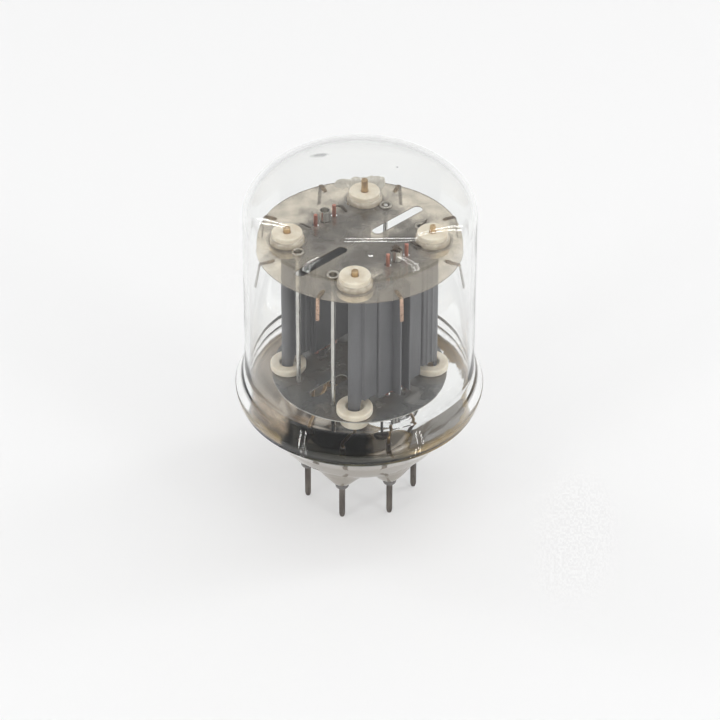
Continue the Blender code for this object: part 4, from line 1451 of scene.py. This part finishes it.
springLook = {
    "phase": -20.9,
    "width": 0.85 * mm,
    "widths": (0.7, 1.15, 1.3),     # of the leaf on the mica, in shares of the leg's width
    "sheet": 0.2 * mm,
    "edge": 0.06 * mm,
    "seat": 0.12 * mm,
    "past": 0.3 * mm,               # over the edge of the mica
    "bend": 0.45 * mm,
    "tip": 0.5 * mm,
    "length": 3.3 * mm,
    "hang": 6.2 * mm,
    "leans": (0.9 * mm, 0.9 * mm, 0.9 * mm, 0.9 * mm, 0.9 * mm, 0.15 * mm, 0.3 * mm, 0.9 * mm),
    "copper": ((0.56, 0.37, 0.27), (0.36, 0.24, 0.18)),
    "grey": ((0.44, 0.41, 0.38), (0.27, 0.24, 0.22)),
    "brown": ((0.34, 0.26, 0.17), (0.14, 0.105, 0.08)),
    "greyFrom": (-15.0 * mm, -11.0 * mm),
}


def makeSpringStuff():
    # stained brown where it lies on the mica, coppery down the front legs and grey down the others
    look = springLook
    stuff, g = newStuff("spring_strip")
    clouds = placeGroup(g, cloudGroup, Scale=420.0, Grain_Scale=2600.0)
    axes = placeGroup(g, axesGroup)
    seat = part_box("upper_mica")[1].z + leanLook["lift"]
    top = g.plus(seat, axes["Away"], -leanLook["slope"])
    above = g.span(g.math("SUBTRACT", axes["Height"], top), -0.3 * mm, 0.1 * mm, smooth=True)
    leg, grey, foot = (g.mix(clouds["Cloud"], *look[word]) for word in ("copper", "grey", "brown"))
    leg = g.mix(g.span(axes["Away"], *look["greyFrom"], smooth=True), leg, grey)
    rough = g.span(clouds["Grain"], 0.0, 1.0, 0.22, 0.36)
    finishStuff(g, principled(g, Base_Color=g.mix(above, leg, foot), Metallic=1.0, Roughness=rough))
    return stuff


def springShape(lean, seat, edge):
    # a flat leaf on the mica, bent down over its edge
    look = springLook
    bend, start = edge - look["bend"], edge - look["length"]
    path = [(x, 0.0, seat) for x in (start, start + look["tip"], (start + bend) / 2, bend)]
    path += [(x, 0.0, z) for x, z in arc((bend, seat - look["bend"]), look["bend"], 70.0, 10.0, 4)]
    path += [(edge + lean, 0.0, seat - look["hang"])]
    half, thick = look["width"] / 2, look["sheet"] / 2
    profile = [(-half, -thick), (half, -thick), (half, thick), (-half, thick)]
    profile = softened(profile, look["edge"], 2, ring=True)
    widths = list(look["widths"]) + [1.0] * (len(path) - len(look["widths"]))
    verts = []
    for k, point in enumerate(path):
        ahead = (Vector(path[min(k + 1, len(path) - 1)]) - Vector(path[max(k - 1, 0)])).normalized()
        normal = Vector((-ahead.z, 0.0, ahead.x))
        for across, out in profile:
            verts.append(tuple(Vector(point) + Vector((0.0, across * widths[k], 0.0)) + normal * out))
    return verts, ringFaces(len(path), len(profile))


def makeSprings(stuff):
    look = springLook
    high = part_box("upper_mica")[1]
    count = len(look["leans"])
    for i, lean in enumerate(look["leans"]):
        turn = math.radians(look["phase"] + 360 / count * i)
        shape = moved(springShape(lean, high.z + look["seat"], high.x + look["past"]), turn=turn)
        addPiece(f"spring_{i + 1}", leaned(shape), stuff, [f"bulb_spring_{i + 1}"])


# Getters, pins and leads


getterLook = {
    "radius": 1.8 * mm,
    "bore": 1.55 * mm,
    "stem": 0.3 * mm,
    "rise": 1.1 * mm,
    "sheet": 0.3 * mm,
    "edge": 0.15 * mm,
}
pinLook = {
    "outline": ((0.68, 12.0), (0.72, 9.8), (0.70, 1.0), (0.55, 0.25), (0.28, 0.0), (0.0, 0.0)),   # mm
    "head": 0.66 * mm,
    "edge": 0.3 * mm,
    "glaze": ((0.71, 10.5), (1.62, 10.5), (1.66, 9.7), (1.5, 9.15), (0.71, 9.0)),
    "light": (0.16, 0.15, 0.145),
    "dark": (0.09, 0.085, 0.08),
}
leadLook = {
    "rise": 1.32 * mm,
    "sag": 0.4 * mm,
    "turns": (0.3, 0.7),
    "wire": 0.38 * mm,
    "steps": 8,
    "sides": 12,
}


def makeGetters(stuff):
    look = getterLook
    for i in (1, 2):
        spot, low, high = middleOf(f"getter_{i}")
        head = low.z + look["rise"]
        outline = [
            (0.0, high.z),
            (look["stem"], high.z),
            (look["stem"], head),
            (look["radius"], head),
            (look["radius"], low.z),
            (look["bore"], low.z),
            (look["bore"], head - look["sheet"]),
            (0.0, head - look["sheet"]),
        ]
        shape = turned(outline, look["edge"], 3, 36, spot)
        addPiece(f"getter_cup_{i}", shape, stuff, [f"getter_{i}"])


def makeGlazeStuff():
    stuff, g = newStuff("pin_seal_glass")
    cloud = placeGroup(g, cloudGroup, Grain_Scale=800.0)["Grain"]
    colour = g.mix(g.span(cloud, 0.0, 1.0, *cloudLook["span"]), pinLook["light"], pinLook["dark"])
    finishStuff(g, principled(g, Base_Color=colour, Roughness=0.05, Coat_Weight=1.0, Coat_Roughness=0.02))
    return stuff


def makePins(stuff, glazeStuff):
    look = pinLook
    glaze = softened([(r * mm, z * mm) for r, z in look["glaze"]], look["edge"], 4, ring=True)
    for i in pinNumbers:
        spot, _, high = middleOf(f"base_pin_{i}")
        outline = [(0.0, high.z), (look["head"], high.z)] + [(r * mm, z * mm) for r, z in look["outline"]]
        shape = turned(outline, look["edge"], 3, 28, spot)
        addPiece(f"pin_{i}", shape, stuff, [f"base_pin_{i}"])
        shape = moved(spun(glaze, 36, ring=True), (spot.x, spot.y, 0.0))
        addPiece(f"pin_glaze_{i}", shape, glazeStuff)


def makeLeads(stuff):
    # each lead runs from the head of its pin to the far corner of its box
    look = leadLook
    rise, sag = Vector((0, 0, look["rise"])), Vector((0, 0, look["sag"]))
    for i in pinNumbers:
        spot, _, top = middleOf(f"base_pin_{i}")
        _, low, high = middleOf(f"lead_{i}")
        start = Vector((spot.x, spot.y, top.z))
        end = Vector((low.x + high.x - start.x, low.y + high.y - start.y, high.z))
        near, far = (start.lerp(end, share) for share in look["turns"])
        bend = smoothPath([start, start + rise, near + sag, far - sag, end - rise, end], look["steps"])
        shape = tube(bend, look["wire"], look["sides"])
        addPiece(f"lead_wire_{i}", shape, stuff, [f"lead_{i}"])


# Stage


floorLook = {
    "half": 3.0,
    "pale": (0.88, 0.88, 0.88),
    "dim": (0.87, 0.87, 0.87),
    "glow": 0.905,
    "glowShare": 0.35,
    "sheet": 0.2,       # clear glass mirrors the paper to here, and past twice this only the room
    "room": 0.04,
}


def makeFloor():
    # the camera sees part of the paper's white directly, which keeps the shadow as soft as the photo's
    look = floorLook
    stuff, g = newStuff("floor_paper")
    cloud = placeGroup(g, cloudGroup, Grain_Scale=9.0)["Grain"]
    colour = g.mix(g.span(cloud, 0.0, 1.0, *cloudLook["span"]), look["dim"], look["pale"])
    paper = principled(g, Base_Color=colour, Roughness=0.9, Specular_IOR_Level=0.1)
    ray = g.add("ShaderNodeLightPath").outputs
    seen = g.math("MAXIMUM", ray["Is Camera Ray"], ray["Is Glossy Ray"])
    seen = g.math("MAXIMUM", seen, ray["Is Transmission Ray"])
    glow = g.add("ShaderNodeEmission", Strength=look["glow"]).outputs[0]
    sheet = blended(g, g.times(seen, look["glowShare"]), paper, glow)
    flat = g.split(g.place())
    reach = g.span(g.length(flat["X"], flat["Y"]), look["sheet"], look["sheet"] * 2, smooth=True)
    front = g.span(g.alongView(flat["X"], flat["Y"]), 0.0, look["sheet"], smooth=True)
    past = g.times(ray["Is Glossy Ray"], ray["Is Singular Ray"], reach, front)
    room = g.add("ShaderNodeEmission", Strength=look["room"]).outputs[0]
    finishStuff(g, blended(g, past, sheet, room))
    half = look["half"]
    mesh = bpy.data.meshes.new("floor")
    corners = [(-half, -half, 0.0), (half, -half, 0.0), (half, half, 0.0), (-half, half, 0.0)]
    mesh.from_pydata(corners, [], [[0, 1, 2, 3]])
    mesh.materials.append(stuff)
    floor = bpy.data.objects.new("floor", mesh)
    bpy.context.scene.collection.objects.link(floor)


def makeCamera():
    look = viewLook
    a, e = viewTurn, math.radians(look["elevation"])
    back = Vector((math.sin(a) * math.cos(e), -math.cos(a) * math.cos(e), math.sin(e)))
    data = bpy.data.cameras.new("view")
    data.sensor_width = look["sensor"]
    data.lens = look["focal"] / look["frame"] * look["sensor"]
    data.shift_x = (look["frame"] / 2 - look["axisX"]) / look["frame"]
    data.clip_start = look["near"]
    data.clip_end = look["far"]
    camera = bpy.data.objects.new("view", data)
    camera.rotation_mode = "QUATERNION"
    camera.location = Vector((0.0, 0.0, look["height"])) + back * look["distance"]
    roll = Matrix.Rotation(math.radians(-look["roll"]), 3, "Z")
    camera.rotation_quaternion = ((-back).to_track_quat("-Z", "Y").to_matrix() @ roll).to_quaternion()
    bpy.context.scene.collection.objects.link(camera)
    bpy.context.scene.camera = camera


lightLook = {
    "strips": (         # azimuth to the right of the camera's side, then lowest and highest elevation
        ("left_front", -48.5, -4, 52),
        ("right_front", 51.5, -3, 55),
        ("left_far", -119, 20, 50),
        ("right_far", 112, 15, 60),
    ),
    "twins": (-2.2, 2.2),
    "distance": 0.6,
    "height": 0.045,
    "soft": (0.006, 34),      # width and radiance, for what is lit
    "glint": (0.013, 32),     # and for what is mirrored
    "overheads": (      # across, away and height, then size and radiance
        ("bar_overhead_1", (0.21, 0.07, 1.0), (0.65, 0.0085), 28),
        ("bar_overhead_2", (0.21, 0.13, 1.0), (0.65, 0.0085), 28),
        ("overhead_small", (0.12, -0.32, 1.0), (0.05, 0.05), 28),
    ),
    "sky": (0.84, 0.74),
    "seen": 0.91,
    "room": (0.04, 0.55),
    "roomRise": (0.16, 0.42),
    "roomFront": (0.0, 0.35),
}


def makeLamp(name, width, height, radiance):
    data = bpy.data.lights.new(name, "AREA")
    data.shape = "RECTANGLE"
    data.size = width
    data.size_y = height
    data.energy = radiance * math.pi * width * height
    lamp = bpy.data.objects.new(name, data)
    bpy.context.scene.collection.objects.link(lamp)
    return lamp


def makeStrip(name, azimuth, lowest, highest, width, radiance, glint):
    # an upright strip that is mirrored as a glint, or only lights what is matt
    look = lightLook
    a = viewTurn + math.radians(azimuth)
    out = Vector((math.sin(a), -math.cos(a), 0.0))
    rises = [math.tan(math.radians(angle)) * look["distance"] for angle in (lowest, highest)]
    lamp = makeLamp(name, width, rises[1] - rises[0], radiance)
    lamp.location = out * look["distance"] + Vector((0.0, 0.0, look["height"] + sum(rises) / 2))
    lamp.rotation_mode = "QUATERNION"
    lamp.rotation_quaternion = (-out).to_track_quat("-Z", "Y")
    lamp.visible_diffuse = not glint
    lamp.visible_glossy = glint


def makeLights():
    look = lightLook
    for word, azimuth, lowest, highest in look["strips"]:
        for k, shift in enumerate(look["twins"]):
            makeStrip(f"strip_{word}_{k + 1}", azimuth + shift, lowest, highest, *look["soft"], False)
            makeStrip(f"glint_{word}_{k + 1}", azimuth + shift, lowest, highest, *look["glint"], True)
    for name, (across, away, height), size, radiance in look["overheads"]:
        lamp = makeLamp(name, *size, radiance)
        lamp.location = (*fromPhoto(across, away), height)
        lamp.rotation_euler = (0.0, 0.0, viewTurn)


def makeWorld():
    # clear glass mirrors a dimmer room, darkest low down in front, as it does in the photo
    look = lightLook
    world = bpy.data.worlds.new("studio")
    bpy.context.scene.world = world
    world.use_nodes = True
    world.node_tree.nodes.clear()
    g = Graph(world.node_tree)
    sky = g.split(g.add("ShaderNodeTexCoord").outputs["Generated"])
    ray = g.add("ShaderNodeLightPath").outputs
    seen = g.math("MAXIMUM", ray["Is Camera Ray"], ray["Is Transmission Ray"])
    mirrored = g.times(ray["Is Glossy Ray"], ray["Is Singular Ray"])
    dark, pale = look["room"]
    front = g.alongView(sky["X"], sky["Y"])
    room = g.math("MAXIMUM", g.span(sky["Z"], *look["roomRise"], dark, pale, True),
                  g.span(front, *look["roomFront"], pale, dark, True))
    plain = g.times(g.math("SUBTRACT", 1.0, mirrored), g.span(sky["Z"], 0.0, 0.9, *look["sky"]))
    grey = g.mix(g.plus(plain, mirrored, room), (0.0, 0.0, 0.0), (1.0, 1.0, 1.0))
    back = g.add("ShaderNodeBackground", Color=g.mix(seen, grey, (look["seen"],) * 3), Strength=1.0)
    out = g.add("ShaderNodeOutputWorld")
    g.feed(out.inputs["Surface"], back.outputs[0])
    bpy.context.scene.view_settings.view_transform = "Standard"


makeCamera()
makeFloor()
makeLights()
makeWorld()
print("stage done")

film = filmLook
outer = makeFilmStuff("base_film", film["outerSilver"], film["outerRoughness"], film["outerReach"], False)
makeEnvelope(makeGlass(), outer)
makeFilm(makeFilmStuff("getter_film", film["silver"], film["roughness"], film["reach"], True))
makeSeam(makeSeamStuff())
makeSmudge(makeSmudgeStuff())
print("glass done")

sootAndShadeGroup = makeSootAndShadeGroup()
makeMica("upper_mica", makeMicaStuff("upper_mica", sootAndShadeGroup))
makeFlake(makeMicaStuff("mica_flake", sootAndShadeGroup))
makeMica("lower_mica", makeMicaStuff("lower_mica", sootAndShadeGroup))
print("micas done")

ceramic = makeCeramicStuff()
bead = makeBeadStuff()
for bushing in range(1, 5):
    makeUpperBushing(bushing, ceramic, bead)
    makeLowerBushing(bushing, ceramic)
makeAnodes(makeCarbonStuff())
print("bushings and anodes done")

metals = {name: makeMetal(name) for name in metalLook}
makePosts(metals["browned_nickel"])
for unit in (1, 2):
    unitSpot = middleOf(f"cathode_{unit}")[0]
    unitSpot.x += unitLook["shifts"][unit - 1]
    makeCathode(unit, unitSpot, metals["bright_nickel"], metals["heater_coating"])
    makeGrid(unit, unitSpot, metals["grid_copper"])
makeRods(metals["bright_nickel"], metals["eyelet_metal"])
makeSprings(makeSpringStuff())
makeStraps(metals["burnt_strap"])
makeCrust(metals["burnt_strap"])
print("inner metal done")

makeGetters(metals["tarnished_pins"])
makePins(metals["tarnished_pins"], makeGlazeStuff())
makeLeads(metals["browned_nickel"])
print("base done")
